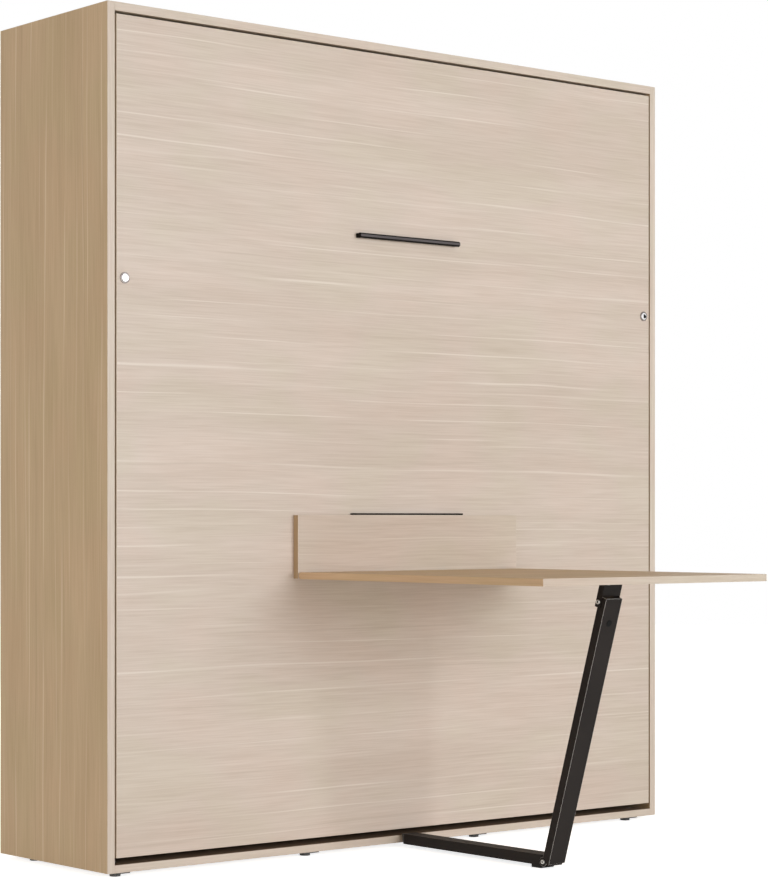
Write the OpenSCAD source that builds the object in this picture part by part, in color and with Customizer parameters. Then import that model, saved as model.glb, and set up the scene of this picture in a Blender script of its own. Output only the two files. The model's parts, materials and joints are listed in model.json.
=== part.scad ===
// Wall bed with a fold down desk: a floor standing cabinet, a bed that tilts out of it behind one
// large front board, and a desk on that board carried by a folding centre leg.
// Millimetres. Origin at floor level in the middle of the wall side; +X right, front towards -Y.

/* [Cabinet] */
// Overall width of the cabinet
cabinet_width = 1970; // [1900:5:2100]
// Height of the cabinet without its feet
cabinet_height = 2160; // [2140:5:2400]
// Depth of the cabinet from wall to front
cabinet_depth = 495; // [470:5:600]
// Thickness of the side and top boards
board_thickness = 22; // [18:1:28]
// Thickness of the bottom board
floor_thickness = 20; // [18:1:22]
// Thickness of the back boards
back_thickness = 4; // [3:0.5:8]
// Height of the rear rails
rail_height = 108; // [90:2:160]
// Thickness of the rear rails
rail_thickness = 22; // [18:1:28]
// Distance between the outer wall bolt holes
bolt_spacing_x = 1440; // [400:20:1500]
// Height between the two rows of wall bolt holes
bolt_spacing_z = 54; // [30:2:64]
// Diameter of the wall bolt holes
bolt_hole_diameter = 9; // [6:0.5:12]

/* [Levelling feet] */
// Height of the cabinet above the floor
foot_height = 10; // [8:1:20]
// Diameter of a foot disc
foot_diameter = 28; // [22:1:30]
// Distance of the first foot in a row from the side of the cabinet
foot_first_inset = 39; // [37:1:80]
// Distance of the last foot in a row from the side of the cabinet
foot_last_inset = 104; // [70:2:270]
// Number of feet in a row
feet_per_row = 4; // [2:1:4]

/* [Front board] */
// Thickness of the front board
front_thickness = 18; // [16:1:25]
// Gap between the front board and each side board
side_gap = 5; // [3:0.5:8]
// Gap above the front board
top_gap = 7; // [5:0.5:12]
// Gap below the front board
sill_gap = 17; // [15:0.5:27]

/* [Bed] */
// Room beside the mattress on each side, for the frame and the fittings
mattress_side_room = 85; // [82.5:2.5:135]
// Room below and above the mattress together, for the boards and the gaps
mattress_end_room = 160; // [140:5:200]
// Width of a steel frame tube
tube_width = 30; // [25:1:32]
// Depth of a steel frame tube
tube_depth = 60; // [50:1:65]
// Number of slats in each half
slat_count = 14; // [8:1:16]
// Width of a slat
slat_width = 53; // [40:1:60]
// Thickness of a slat
slat_thickness = 8; // [6:0.5:9]
// Rise of a slat at its middle
slat_bow = 12; // [6:1:16]
// Height of the bed's tilting axis above the floor
pivot_height = 350; // [335:1:380]
// Distance of the tilting axis behind the front board's face
pivot_setback = 85; // [82:1:88]
// Diameter of the tilting pin
pivot_pin_diameter = 16; // [12:1:18]
// Distance between the support leg's axis and the bed's head end
bow_inset = 10; // [8:1:14]
// Diameter of the support leg's tube
bow_diameter = 18; // [14:1:20]

/* [Gas struts] */
// Diameter of the strut's tube
strut_diameter = 22; // [18:1:24]
// Diameter of the strut's rod
strut_rod_diameter = 10; // [8:1:12]
// Height of the strut's fixed pin above the tilting axis
strut_pin_rise = 550; // [540:2:600]
// Distance of the strut's fixed pin behind the tilting axis
strut_pin_setback = 35; // [20:1:50]
// Distance of the strut's stud below the tilting axis
stud_drop = 150; // [130:2:155]
// Distance of the strut's stud behind the tilting axis
stud_setback = 60; // [50:1:65]

/* [Locks and handle] */
// Height of the two turning locks above the floor
lock_height = 1487; // [1300:1:1600]
// Distance of a lock from the edge of the front board
lock_inset = 24; // [22:0.5:26]
// Outer diameter of a lock's ring
lock_ring_diameter = 28; // [26:1:32]
// Length of the pull handle
handle_length = 360; // [160:10:700]
// Height of the pull handle's centre above the floor
handle_height = 1646; // [1646:1:1760]
// Height of the handle's bar
handle_bar = 14; // [10:1:16]
// How far the handle stands out
handle_projection = 21; // [18:1:45]

/* [Desk] */
// Width of the desk and of its back board
desk_width = 790; // [500:10:1200]
// Depth of the desk from the front board
desk_reach = 925; // [860:1:926]
// Thickness of the desk top
desk_thickness = 18; // [16:1:20]
// Height of the desk's surface above the floor
desk_height = 749; // [730:1:751]
// Height of the back board above the desk's surface
desk_board_rise = 150; // [80:5:300]
// Thickness of the back board
desk_board_thickness = 20; // [16:1:24]
// Length of the black strip on the back board
strip_length = 400; // [100:10:480]
// Height of the black strip on the back board
strip_height = 4.5; // [2:0.5:8]
// Diameter of the desk's hinge pins
hinge_pin_diameter = 6; // [5:0.5:6.5]

/* [Desk leg] */
// Lean of the leg from the vertical, in degrees
leg_lean = 16.5; // [12:0.5:18]
// Distance from the desk's front edge to the leg's axis
leg_setback = 174; // [165:1:185]
// Distance from the desk's surface down to the leg's axis
leg_drop = 66; // [62:1:72]
// Width of the leg
leg_width = 57; // [50:1:66]
// Depth of the leg
leg_depth = 24; // [22:1:28]
// Wall thickness of the leg and the foot bar
leg_wall = 2.5; // [2:0.5:3]
// Height of the foot bar
bar_height = 27; // [24:1:28]
// Height of the foot pad under the bar
pad_height = 8; // [6:1:9]
// Gap between the foot bar and the front of the cabinet
bar_gap = 9; // [8:1:40]
// Diameter of the leg's two bolts
leg_bolt_diameter = 8; // [6:0.5:9]

/* [Hidden] */
$fn = 48;

oak_light = "#d8cabb";
oak_shade = "#b59c82";
back_white = "#e8e4dc";
steel_black = "#2c2928";
steel_grey = "#8d8f92";
zinc = "#b9bcc0";
chrome = "#d9dcdf";
plastic_black = "#1d1c1c";
plastic_grey = "#6c6e70";
birch = "#dcc49a";

// clearances
turn_gap = 0.3;   // between a pin and a bore that turns on it
press_gap = 0.15; // between a pin and the bore that holds it
part_gap = 1;     // between pieces that pass each other
cut = 1;          // how far a cutting body runs past a face

// cabinet faces
half_width = cabinet_width / 2;
inner_x = half_width - board_thickness;
front_y = -cabinet_depth;
floor_top = foot_height + floor_thickness;
cabinet_top = foot_height + cabinet_height;
roof_z = cabinet_top - board_thickness;
back_y = -rail_thickness;
rear_inner_y = back_y - back_thickness;
wall_rail_z = roof_z - rail_height;
middle_rail_z = (floor_top + roof_z) / 2 - rail_height / 2;
back_overlap = 20;
back_top = wall_rail_z + back_overlap;
joiner_width = 24;
joiner_lip = 1.5;
bolt_rise = 8; // of the bolt holes' middle above the middle of the wall rail

// levelling feet
plate_thickness = 4;
foot_plate_length = 50;
foot_plate_width = 30;
foot_first_x = -half_width + foot_first_inset;
foot_pitch = (half_width - foot_last_inset - foot_first_x) / (feet_per_row - 1);
foot_front_inset = 24;
foot_rear_inset = 107;
foot_front_y = front_y + foot_front_inset;
foot_rear_y = -foot_rear_inset;

// front board and frame
door_half = inner_x - side_gap;
door_bottom = floor_top + sill_gap;
door_top = roof_z - top_gap;
door_back = front_y + front_thickness;
frame_lip = 12;
mattress_width = cabinet_width - 2 * mattress_side_room;
mattress_length = cabinet_height - mattress_end_room;
frame_half = mattress_width / 2 + frame_lip;
frame_rise = 13;
frame_bottom = door_bottom + frame_rise;
frame_top = frame_bottom + mattress_length;
frame_back = door_back + tube_depth;
frame_wall = 2;
pivot_y = front_y + pivot_setback;

// slats and holders
slat_pitch = (mattress_length - 4 * tube_width - slat_width) / (slat_count - 1);
slat_first = frame_bottom + 2 * tube_width;
holder_wall = 3;
holder_play = 1.4;
holder_length = 26;
holder_rim = 2;
holder_headroom = 1;
seat_gap = 0.3;
slat_seat = frame_back + holder_wall;
pocket_top = slat_seat + slat_thickness + holder_play + holder_headroom;
slat_inner = 6;
slat_end_inset = 8;
slat_outer = frame_half - slat_end_inset;
slat_steps = 8;

// fittings between the bed and the cabinet sides
fitting_plate = 4;
arm_thickness = 6;
arm_outer = frame_half + arm_thickness;
plate_inner = inner_x - fitting_plate;
bush_wall = 3;
bush_flange = 2;
flange_lip = 3;
pin_tip_gap = 0.5;
pin_collar = 4;
bush_radius = pivot_pin_diameter / 2 + turn_gap + bush_wall;
screw_head_radius = 4;
screw_head_height = 2.4;

// gas struts
strut_x = (arm_outer + plate_inner) / 2;
strut_pin = [pivot_y + strut_pin_setback, pivot_height + strut_pin_rise];
strut_stud = [pivot_y + stud_setback, pivot_height - stud_drop];
strut_span = norm(strut_stud - strut_pin);
strut_angle = atan2(strut_stud[0] - strut_pin[0], strut_pin[1] - strut_stud[1]);
open_stud = [pivot_y + stud_drop, pivot_height + stud_setback];
open_span = norm(open_stud - strut_pin);
strut_eye_radius = 11;
strut_eye_width = 12;
strut_pin_radius = 4;
strut_pin_overrun = 2;
strut_pin_collar = 3;
stud_radius = 7;
strut_neck_radius = 6;
eye_bite = 1; // how far a rod runs into the ring of its eye
strut_end_wall = 4;
strut_tube_start = 16;
strut_tube_wall = 2.5;
strut_end_room = 30;
strut_tube_end = open_span - strut_end_room;
strut_piston = 12;
strut_rod_start = strut_tube_end - 3 * strut_piston;

// support leg
bow_radius = bow_diameter / 2;
bow_setback = 22;
bow_side_gap = 6;
bow_door_gap = 12;
bow_axis = [door_back + bow_setback, frame_top - bow_inset];
bow_x = frame_half + bow_side_gap + bow_radius;
bow_drop = door_top - bow_axis[1] + bow_radius + bow_door_gap;
bow_bend = 30;
bow_pad = 3;
bow_floor_gap = 0.5;
bow_rest = bow_radius + bow_pad + bow_floor_gap;
bow_reach = bow_axis[0] - (pivot_y - pivot_height + bow_rest);
bow_pin_radius = 5;
bow_eye_wall = 4;
bow_lug_half = 18;
bow_lug_drop = 24;
bow_foot_x = 600;
bow_foot_length = 60;

// mattress hoop
hoop_radius = 6;
hoop_half = 300;
hoop_reach = 120;
hoop_bend = 25;
hoop_z = frame_bottom + tube_width / 2;

// locks
lock_x = door_half - lock_inset;
lock_wall = 2;
lock_sleeve_radius = lock_ring_diameter / 2 - lock_wall;
lock_knob_radius = lock_sleeve_radius - lock_wall;
lock_proud = 3;
lock_slot = [3, 10, 2];
cam_setback = 7;
cam_front = door_back + cam_setback;
sleeve_back = cam_front - 2;
knob_back = cam_front - 1.5;
lock_knob_step = 1;
cam_thickness = 3;
cam_width = 14;
cam_reach = 22;
cam_hub_wall = 2;
spindle_radius = 6;
spindle_tip = 2;
striker_reach = 15;
striker_height = 28;
striker_thickness = 3;
striker_gap = 1.5;
striker_plate = 2;
striker_depth = 30;

// desk and its hinge
desk_front_y = front_y - desk_reach;
board_front_y = front_y - desk_board_thickness;
desk_bottom = desk_height - desk_thickness;
fold_gap = 1.5; // between the desk's surface and the back board once the desk is folded up
hinge_y = board_front_y - desk_thickness / 2 - fold_gap;
hinge_z = desk_height - desk_thickness / 2;
hinge_pin_radius = hinge_pin_diameter / 2;
knuckle_width = 20;
knuckle_radius = 5;
knuckle_places = [-0.43, -0.145, 0.145, 0.43];
knuckle_leaf = [34, 2.5, 16];
pin_reach = 32;

// desk leg, in a frame at its upper axis with the leg hanging straight down
leg_y = desk_front_y + leg_setback;
leg_z = desk_height - leg_drop;
bar_low = pad_height;
foot_axis_rise = 10.2;
foot_axis_z = pad_height + foot_axis_rise;
leg_length = (leg_z - foot_axis_z) / cos(leg_lean);
foot_axis_y = leg_y + leg_length * sin(leg_lean);
leg_back = 3;
leg_front = leg_back - leg_depth;
leg_head = 14;
leg_half = leg_width / 2;
ear_radius = 12;
cheek_thickness = 3;
cheek_play = 0.5;
cheek_back = 9;
cheek_front = -8;
cheek_low = -14;
neck_low = 16.5;
leg_end_gap = 0.8;
bracket_plate = [90, 84, 3];
plate_ahead = 50; // of the plate, ahead of the leg's axis
plate_screw_inset = [6, 8];
bolt_head = [2, 3.5];
bolt_radius = leg_bolt_diameter / 2;
plug_radius = 7.5;
plug_rim = [1, 1.2];
plug_drop = 50;

// foot bar
bar_play = 1;
bar_half = leg_half - leg_wall - bar_play;
bar_end_y = front_y - bar_gap;
bar_nose = min(17, -leg_front - leg_wall - 1.2);
bar_solid = 36; // length of the bar's solid near end
cap_thickness = 3;
cap_slant = 6; // how much shorter the cap is below, so that it rides up over the bottom board
cap_tenon = 10;
cap_play = 0.2;
pad_start = 13;
pad_length = 34;

// a box between two corners
module block(low, high) {
    translate(low) cube(high - low);
}

// a round bar along X
module bar_x(x0, x1, y, z, r) {
    translate([x0, y, z]) rotate([0, 90, 0]) cylinder(r = r, h = x1 - x0);
}

// a round bar along Y
module bar_y(x, y0, y1, z, r) {
    translate([x, y0, z]) rotate([-90, 0, 0]) cylinder(r = r, h = y1 - y0);
}

// the children as drawn on the right, or mirrored to the left
module on_side(side) {
    mirror([side < 0 ? 1 : 0, 0, 0]) children();
}

module on_both_sides() {
    for (side = [-1, 1]) on_side(side) children();
}

// a flat plate across X, its outline drawn in Y and Z
module plate_x(x0, x1) {
    translate([x0, 0, 0]) rotate([90, 0, 90]) linear_extrude(x1 - x0) children();
}

// the desk leg's own frame, leaning at the upper axis
module leg_frame() {
    translate([0, leg_y, leg_z]) rotate([leg_lean, 0, 0]) children();
}

// ---- cabinet ----

module side_panel(side) {
    color(oak_shade) on_side(side)
        block([inner_x, front_y, foot_height], [half_width, 0, cabinet_top]);
}

cam_radius = 7.5;
cam_depth = 12.5;
cam_inset = 34;
cam_shares = [0.11, 0.5, 0.89]; // of the cabinet's depth, from the wall
cam_places = [for (x = [-1, 1], y = cam_shares) [x * (inner_x - cam_inset), y * front_y]];

// the round connectors sit in blind bores of the top board and of the bottom board
module cam_discs(radius, z, depth) {
    for (p = cam_places) translate([p[0], p[1], z]) cylinder(r = radius, h = depth);
}

module top_panel() {
    color(oak_light) difference() {
        block([-inner_x, front_y, roof_z], [inner_x, 0, cabinet_top]);
        cam_discs(cam_radius + press_gap, cabinet_top - cam_depth, cam_depth + cut);
    }
}

module bottom_panel() {
    color(oak_light) difference() {
        block([-inner_x, front_y, foot_height], [inner_x, 0, floor_top]);
        cam_discs(cam_radius + press_gap, floor_top - cam_depth, cam_depth + cut);
    }
}

module panel_cams() {
    color(zinc) {
        cam_discs(cam_radius, cabinet_top - cam_depth, cam_depth);
        cam_discs(cam_radius, floor_top - cam_depth, cam_depth);
    }
}

module back_panel(side) {
    color(back_white) on_side(side)
        block([joiner_lip / 2, rear_inner_y, floor_top], [inner_x, back_y, back_top]);
}

// a T strip: its stem stands between the two back boards and its face covers the joint
module back_joiner_strip() {
    color(back_white) {
        block([-joiner_lip / 2, rear_inner_y, floor_top], [joiner_lip / 2, back_y, back_top]);
        block([-joiner_width / 2, rear_inner_y - joiner_lip, floor_top],
            [joiner_width / 2, rear_inner_y, back_top]);
    }
}

module rear_rail(z) {
    block([-inner_x, back_y, z], [inner_x, 0, z + rail_height]);
}

module wall_rail() {
    color(oak_light) difference() {
        rear_rail(wall_rail_z);
        for (x = [-1, 1], z = [-1, 1])
            bar_y(x * bolt_spacing_x / 2, back_y - cut, cut,
                wall_rail_z + rail_height / 2 + bolt_rise + z * bolt_spacing_z / 2, bolt_hole_diameter / 2);
    }
}

module middle_rail() {
    color(oak_light) rear_rail(middle_rail_z);
}

module lower_rail() {
    color(oak_light) rear_rail(floor_top);
}

foot_places = [for (y = [foot_front_y, foot_rear_y], i = [0 : feet_per_row - 1])
    [foot_first_x + i * foot_pitch, y]];

module foot_plates() {
    color(plastic_black) for (p = foot_places)
        translate([p[0] - foot_diameter / 2, p[1] - foot_plate_width / 2, foot_height - plate_thickness])
            cube([foot_plate_length, foot_plate_width, plate_thickness]);
}

module levelling_feet() {
    color(plastic_black) for (p = foot_places)
        translate([p[0], p[1], 0]) cylinder(r = foot_diameter / 2, h = foot_height - plate_thickness);
}

pivot_plate_half = 45;
pivot_plate_rise = 75;
strut_plate_half = 24;
plate_screw_edge = 9;

// places of the four countersunk screws of a plate on the cabinet's side
function screw_places(y, z, half, rise) = [for (a = [-1, 1], b = [-1, 1])
    [y + a * (half - plate_screw_edge), z + b * (rise - plate_screw_edge)]];
pivot_screws = screw_places(pivot_y, pivot_height, pivot_plate_half, pivot_plate_rise);
strut_screws = screw_places(strut_pin[0], strut_pin[1], strut_plate_half, 2 * strut_plate_half);

module plate_screws(places, x0, radius) {
    for (p = places) bar_x(x0, inner_x, p[0], p[1], radius);
}

module pivot_plates() {
    color(zinc) on_both_sides() difference() {
        block([plate_inner, pivot_y - pivot_plate_half, pivot_height - pivot_plate_rise],
            [inner_x, pivot_y + pivot_plate_half, pivot_height + pivot_plate_rise]);
        plate_screws(pivot_screws, plate_inner - cut, screw_head_radius + press_gap);
        bar_x(plate_inner - cut, inner_x + cut, pivot_y, pivot_height, pivot_pin_diameter / 2 + press_gap);
    }
}

// a stepped pin: its thick part keeps the bed's arm at its distance from the cabinet side
module pivot_pins() {
    color(steel_grey) on_both_sides() {
        bar_x(frame_half + pin_tip_gap, inner_x, pivot_y, pivot_height, pivot_pin_diameter / 2);
        bar_x(arm_outer + bush_flange + part_gap, plate_inner, pivot_y, pivot_height,
            pivot_pin_diameter / 2 + pin_collar);
    }
}

module strut_brackets() {
    color(zinc) on_both_sides() {
        difference() {
            block([plate_inner, strut_pin[0] - strut_plate_half, strut_pin[1] - 2 * strut_plate_half],
                [inner_x, strut_pin[0] + strut_plate_half, strut_pin[1] + 2 * strut_plate_half]);
            plate_screws(strut_screws, plate_inner - cut, screw_head_radius + press_gap);
        }
        bar_x(strut_x - strut_eye_width / 2 - strut_pin_overrun, plate_inner, strut_pin[0], strut_pin[1],
            strut_pin_radius);
        bar_x(strut_x + strut_eye_width / 2 + turn_gap, plate_inner, strut_pin[0], strut_pin[1],
            strut_pin_radius + strut_pin_collar);
    }
}

// the cam of a closed lock turns in behind the lip of its striker
module lock_strikers() {
    striker_y = door_back + striker_gap;
    color(zinc) on_both_sides() {
        block([inner_x - striker_reach, striker_y, lock_height - striker_height / 2],
            [inner_x, striker_y + striker_thickness, lock_height + striker_height / 2]);
        block([inner_x - striker_plate, striker_y, lock_height - striker_height],
            [inner_x, striker_y + striker_depth, lock_height + striker_height]);
    }
}

stop_size = [14, 12, 36];

module door_stops() {
    color(plastic_black) on_both_sides()
        translate([inner_x - stop_size[0], door_back + part_gap, door_top - 2 * stop_size[2]])
            cube(stop_size);
}

// the screws' heads are flush with the plates, because the bed's front board passes close by them
module fitting_screws() {
    color(zinc) on_both_sides() {
        plate_screws(pivot_screws, plate_inner, screw_head_radius);
        plate_screws(strut_screws, plate_inner, screw_head_radius);
    }
}

// ---- bed ----

module front_panel() {
    color(oak_light) difference() {
        block([-door_half, front_y, door_bottom], [door_half, door_back, door_top]);
        on_both_sides()
            bar_y(lock_x, front_y - cut, door_back + cut, lock_height, lock_sleeve_radius + press_gap);
    }
}

// a closed rectangular tube along Z, X or anywhere: solid outside, hollow inside, with welded end plates
module hollow_box(low, high, wall) {
    difference() {
        block(low, high);
        block(low + [wall, wall, wall], high - [wall, wall, wall]);
    }
}

module side_rail(side) {
    color(steel_grey) on_side(side)
        hollow_box([frame_half - tube_width, door_back, frame_bottom], [frame_half, frame_back, frame_top],
            frame_wall);
}

module cross_rail(z) {
    hollow_box([-frame_half + tube_width, door_back, z],
        [frame_half - tube_width, frame_back, z + tube_width], frame_wall);
}

module head_rail() {
    color(steel_grey) cross_rail(frame_top - tube_width);
}

module foot_rail() {
    color(steel_grey) cross_rail(frame_bottom);
}

module centre_beam() {
    color(steel_grey) hollow_box([-tube_width / 2, door_back, frame_bottom + tube_width],
        [tube_width / 2, frame_back, frame_top - tube_width], frame_wall);
}

slat_heights = [for (i = [0 : slat_count - 1]) slat_first + i * slat_pitch];

// height of the slat's curve at a share of its length, 0 and 1 at its ends
function bow_at(t) = 4 * slat_bow * t * (1 - t);
function slat_edge(lift) = [for (i = [0 : slat_steps])
    [slat_inner + (slat_outer - slat_inner) * i / slat_steps, slat_seat + lift + bow_at(i / slat_steps)]];

module slats(side) {
    lower = slat_edge(0);
    upper = slat_edge(slat_thickness);
    outline = concat(lower, [for (i = [slat_steps : -1 : 0]) upper[i]]);
    color(birch) on_side(side) for (z = slat_heights)
        translate([0, 0, z]) linear_extrude(slat_width) polygon(outline);
}

// a cap on a side rail, open to the middle, that holds one slat's end
module rail_holder(z) {
    x1 = frame_half - part_gap;
    x0 = x1 - holder_length;
    difference() {
        block([x0, frame_back, z - holder_rim - holder_wall],
            [x1, pocket_top + holder_wall, z + slat_width + holder_rim + holder_wall]);
        block([x0 - cut, slat_seat - seat_gap, z - holder_rim / 4],
            [slat_outer + part_gap, pocket_top, z + slat_width + holder_rim / 4]);
    }
}

// a double cap on the centre beam: a saddle with a wall between the two slats' ends
module beam_holder(z) {
    difference() {
        block([-holder_length, frame_back, z - holder_rim - holder_wall],
            [holder_length, pocket_top + holder_wall, z + slat_width + holder_rim + holder_wall]);
        on_both_sides() block([slat_inner - part_gap, slat_seat - seat_gap, z - holder_rim / 4],
            [holder_length + cut, pocket_top, z + slat_width + holder_rim / 4]);
    }
}

module slat_holders() {
    color(plastic_black) for (z = slat_heights) {
        on_both_sides() rail_holder(z);
        beam_holder(z);
    }
}

arm_eye_wall = 14;
arm_stud_wall = 7;
arm_insets = [8, 4];              // from the side rail's front and rear faces
arm_drop = 40;                    // below the stud
arm_rise = 70;                    // above the pivot
arm_stud_corners = [[6, -13], [14, 2]];
arm_pivot_corners = [[25, -4], [8, 25]];

// the arm is welded to the side rail and carries the pivot bush and the strut's stud
module pivot_arm(side) {
    y0 = door_back + arm_insets[0];
    y1 = frame_back - arm_insets[1];
    pivot = [pivot_y, pivot_height];
    low_z = strut_stud[1] - arm_drop;
    high_z = pivot_height + arm_rise;
    color(steel_black) on_side(side) {
        plate_x(frame_half, arm_outer) difference() {
            union() {
                polygon([[y0, low_z], [y1, low_z], strut_stud + arm_stud_corners[0],
                    strut_stud + arm_stud_corners[1], pivot + arm_pivot_corners[0],
                    pivot + arm_pivot_corners[1], [y1, high_z], [y0, high_z]]);
                translate(pivot) circle(r = bush_radius + arm_eye_wall);
                translate(strut_stud) circle(r = stud_radius + arm_stud_wall);
            }
            translate(pivot) circle(r = bush_radius + press_gap);
        }
        bar_x(arm_outer, strut_x - strut_eye_width / 2 - turn_gap, strut_stud[0], strut_stud[1],
            stud_radius);
    }
}

module pivot_bushes() {
    color(plastic_grey) on_both_sides() difference() {
        union() {
            bar_x(frame_half, arm_outer, pivot_y, pivot_height, bush_radius);
            bar_x(arm_outer, arm_outer + bush_flange, pivot_y, pivot_height, bush_radius + flange_lip);
        }
        bar_x(frame_half - cut, arm_outer + bush_flange + cut, pivot_y, pivot_height,
            pivot_pin_diameter / 2 + turn_gap);
    }
}

// a quarter of a bent round tube in the YX plane, from straight back to straight across
module bend_across(radius, bend) {
    rotate_extrude(angle = 90) translate([bend, 0]) circle(r = radius);
}

// a bent steel bar welded behind the foot rail that stops the mattress sliding down
module mattress_hoop() {
    y1 = frame_back + hoop_reach;
    color(steel_grey) translate([0, 0, hoop_z]) {
        on_both_sides() {
            bar_y(hoop_half, frame_back, y1 - hoop_bend, 0, hoop_radius);
            translate([hoop_half - hoop_bend, y1 - hoop_bend, 0]) bend_across(hoop_radius, hoop_bend);
        }
        bar_x(-hoop_half + hoop_bend, hoop_half - hoop_bend, y1, 0, hoop_radius);
    }
}

handle_post = 12;
handle_bar_depth = 8;
handle_step = 1.5; // by which the posts are lower than the bar, above and below

// a low bow: a bar with its upper and lower edges cut away at an angle, on two flat posts
module pull_handle() {
    front = front_y - handle_projection;
    half = handle_bar / 2;
    post = half - handle_step;
    slope = handle_bar_depth / 2;
    color(plastic_black) {
        plate_x(-handle_length / 2, handle_length / 2) translate([front, handle_height])
            polygon([[0, slope - half], [slope, -half], [handle_bar_depth, -half],
                [handle_bar_depth, half], [slope, half], [0, half - slope]]);
        on_both_sides() block([handle_length / 2 - handle_post, front + handle_bar_depth, handle_height - post],
            [handle_length / 2, front_y, handle_height + post]);
    }
}

module lock_rings() {
    color(chrome) on_both_sides() difference() {
        union() {
            bar_y(lock_x, front_y - lock_proud, front_y, lock_height, lock_ring_diameter / 2);
            bar_y(lock_x, front_y, sleeve_back, lock_height, lock_sleeve_radius);
        }
        bar_y(lock_x, front_y - lock_proud - cut, sleeve_back + cut, lock_height,
            lock_knob_radius + turn_gap);
    }
}

knuckle_xs = [for (share = knuckle_places) share * desk_width];

module desk_board() {
    color(oak_light) difference() {
        block([-desk_width / 2, board_front_y, desk_bottom],
            [desk_width / 2, front_y, desk_height + desk_board_rise]);
        for (x = knuckle_xs)
            block([x - knuckle_leaf[0] / 2, board_front_y - cut, desk_bottom - cut],
                [x + knuckle_leaf[0] / 2, board_front_y + knuckle_leaf[1], desk_bottom + knuckle_leaf[2]]);
    }
}

strip_depth = 10;

module board_strip() {
    top = desk_height + desk_board_rise;
    color(plastic_black) block([-strip_length / 2, front_y - strip_depth, top],
        [strip_length / 2, front_y, top + strip_height]);
}

// a leaf let into the back board, with an arm and a round nose about the hinge's axis
module desk_hinge_knuckles() {
    color(steel_black) for (x = knuckle_xs) difference() {
        union() {
            block([x - knuckle_leaf[0] / 2, board_front_y, desk_bottom],
                [x + knuckle_leaf[0] / 2, board_front_y + knuckle_leaf[1], desk_bottom + knuckle_leaf[2]]);
            block([x - knuckle_width / 2, hinge_y, hinge_z - knuckle_radius],
                [x + knuckle_width / 2, board_front_y, hinge_z + knuckle_radius]);
            bar_x(x - knuckle_width / 2, x + knuckle_width / 2, hinge_y, hinge_z, knuckle_radius);
        }
        bar_x(x - knuckle_width, x + knuckle_width, hinge_y, hinge_z, hinge_pin_radius + press_gap);
    }
}

module desk_hinge_pins() {
    color(zinc) for (x = knuckle_xs) bar_x(x - pin_reach, x + pin_reach, hinge_y, hinge_z, hinge_pin_radius);
}

module bed_leg_brackets() {
    color(steel_black) on_both_sides() {
        block([frame_half, bow_axis[0] - bow_lug_half, bow_axis[1] - bow_lug_drop],
            [bow_x - bow_radius - part_gap, bow_axis[0] + bow_lug_half, bow_axis[1] + bow_inset]);
        bar_x(bow_x - bow_radius - part_gap, bow_x + bow_radius + 2 * part_gap, bow_axis[0], bow_axis[1],
            bow_pin_radius);
    }
}

// screw heads on the frame tubes, halfway between the slats
module panel_screws() {
    color(zinc) for (i = [1 : 3 : slat_count - 2])
        for (x = [-1, 0, 1])
            bar_y(x * (frame_half - tube_width / 2), frame_back, frame_back + screw_head_height,
                slat_heights[i] + (slat_width + slat_pitch) / 2, screw_head_radius);
}

// ---- desk ----

module desk_top() {
    color(oak_light) difference() {
        union() {
            block([-desk_width / 2, desk_front_y, desk_bottom], [desk_width / 2, hinge_y, desk_height]);
            bar_x(-desk_width / 2, desk_width / 2, hinge_y, hinge_z, desk_thickness / 2);
        }
        for (x = knuckle_xs) {
            slot = knuckle_width / 2 + part_gap / 2;
            block([x - slot, hinge_y - knuckle_radius - 2 * part_gap, desk_bottom - cut],
                [x + slot, board_front_y, desk_height + cut]);
            bar_x(x - pin_reach - part_gap, x + pin_reach + part_gap, hinge_y, hinge_z,
                hinge_pin_radius + turn_gap);
        }
    }
}

// two cheeks and a front web, folded from one plate and welded under a screw plate
module leg_bracket() {
    cheek_in = leg_half + cheek_play;
    cheek_out = cheek_in + cheek_thickness;
    tall = 2 * leg_drop; // past the plate, where it is cut off level
    color(steel_black) {
        difference() {
            leg_frame() {
                on_both_sides() block([cheek_in, cheek_front, cheek_low], [cheek_out, cheek_back, tall]);
                block([-cheek_in, cheek_front, neck_low], [cheek_in, cheek_front + cheek_thickness, tall]);
            }
            block([-leg_width, leg_y - 3 * leg_width, desk_bottom - bracket_plate[2]],
                [leg_width, leg_y + 3 * leg_width, desk_bottom + 3 * leg_width]);
            bar_x(-cheek_out - cut, cheek_out + cut, leg_y, leg_z, bolt_radius + press_gap);
        }
        translate([-bracket_plate[0] / 2, leg_y - plate_ahead, desk_bottom - bracket_plate[2]])
            cube(bracket_plate);
    }
}

module bracket_screws() {
    ahead = leg_y - plate_ahead + plate_screw_inset[1];
    behind = leg_y - plate_ahead + bracket_plate[1] - plate_screw_inset[1];
    color(zinc) for (x = [-1, 1], y = [ahead, behind])
        translate([x * (bracket_plate[0] / 2 - plate_screw_inset[0]), y,
            desk_bottom - bracket_plate[2] - screw_head_height])
            cylinder(r = screw_head_radius, h = screw_head_height);
}

// a bolt across the leg with a flat round head at each end
module cross_bolt(y, z, outer) {
    bar_x(-outer, outer, y, z, bolt_radius);
    on_both_sides() bar_x(outer, outer + bolt_head[1], y, z, bolt_radius + bolt_head[0]);
}

module leg_pivot_bolt() {
    color(zinc) cross_bolt(leg_y, leg_z, leg_half + cheek_play + cheek_thickness);
}

// ---- desk leg ----

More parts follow.
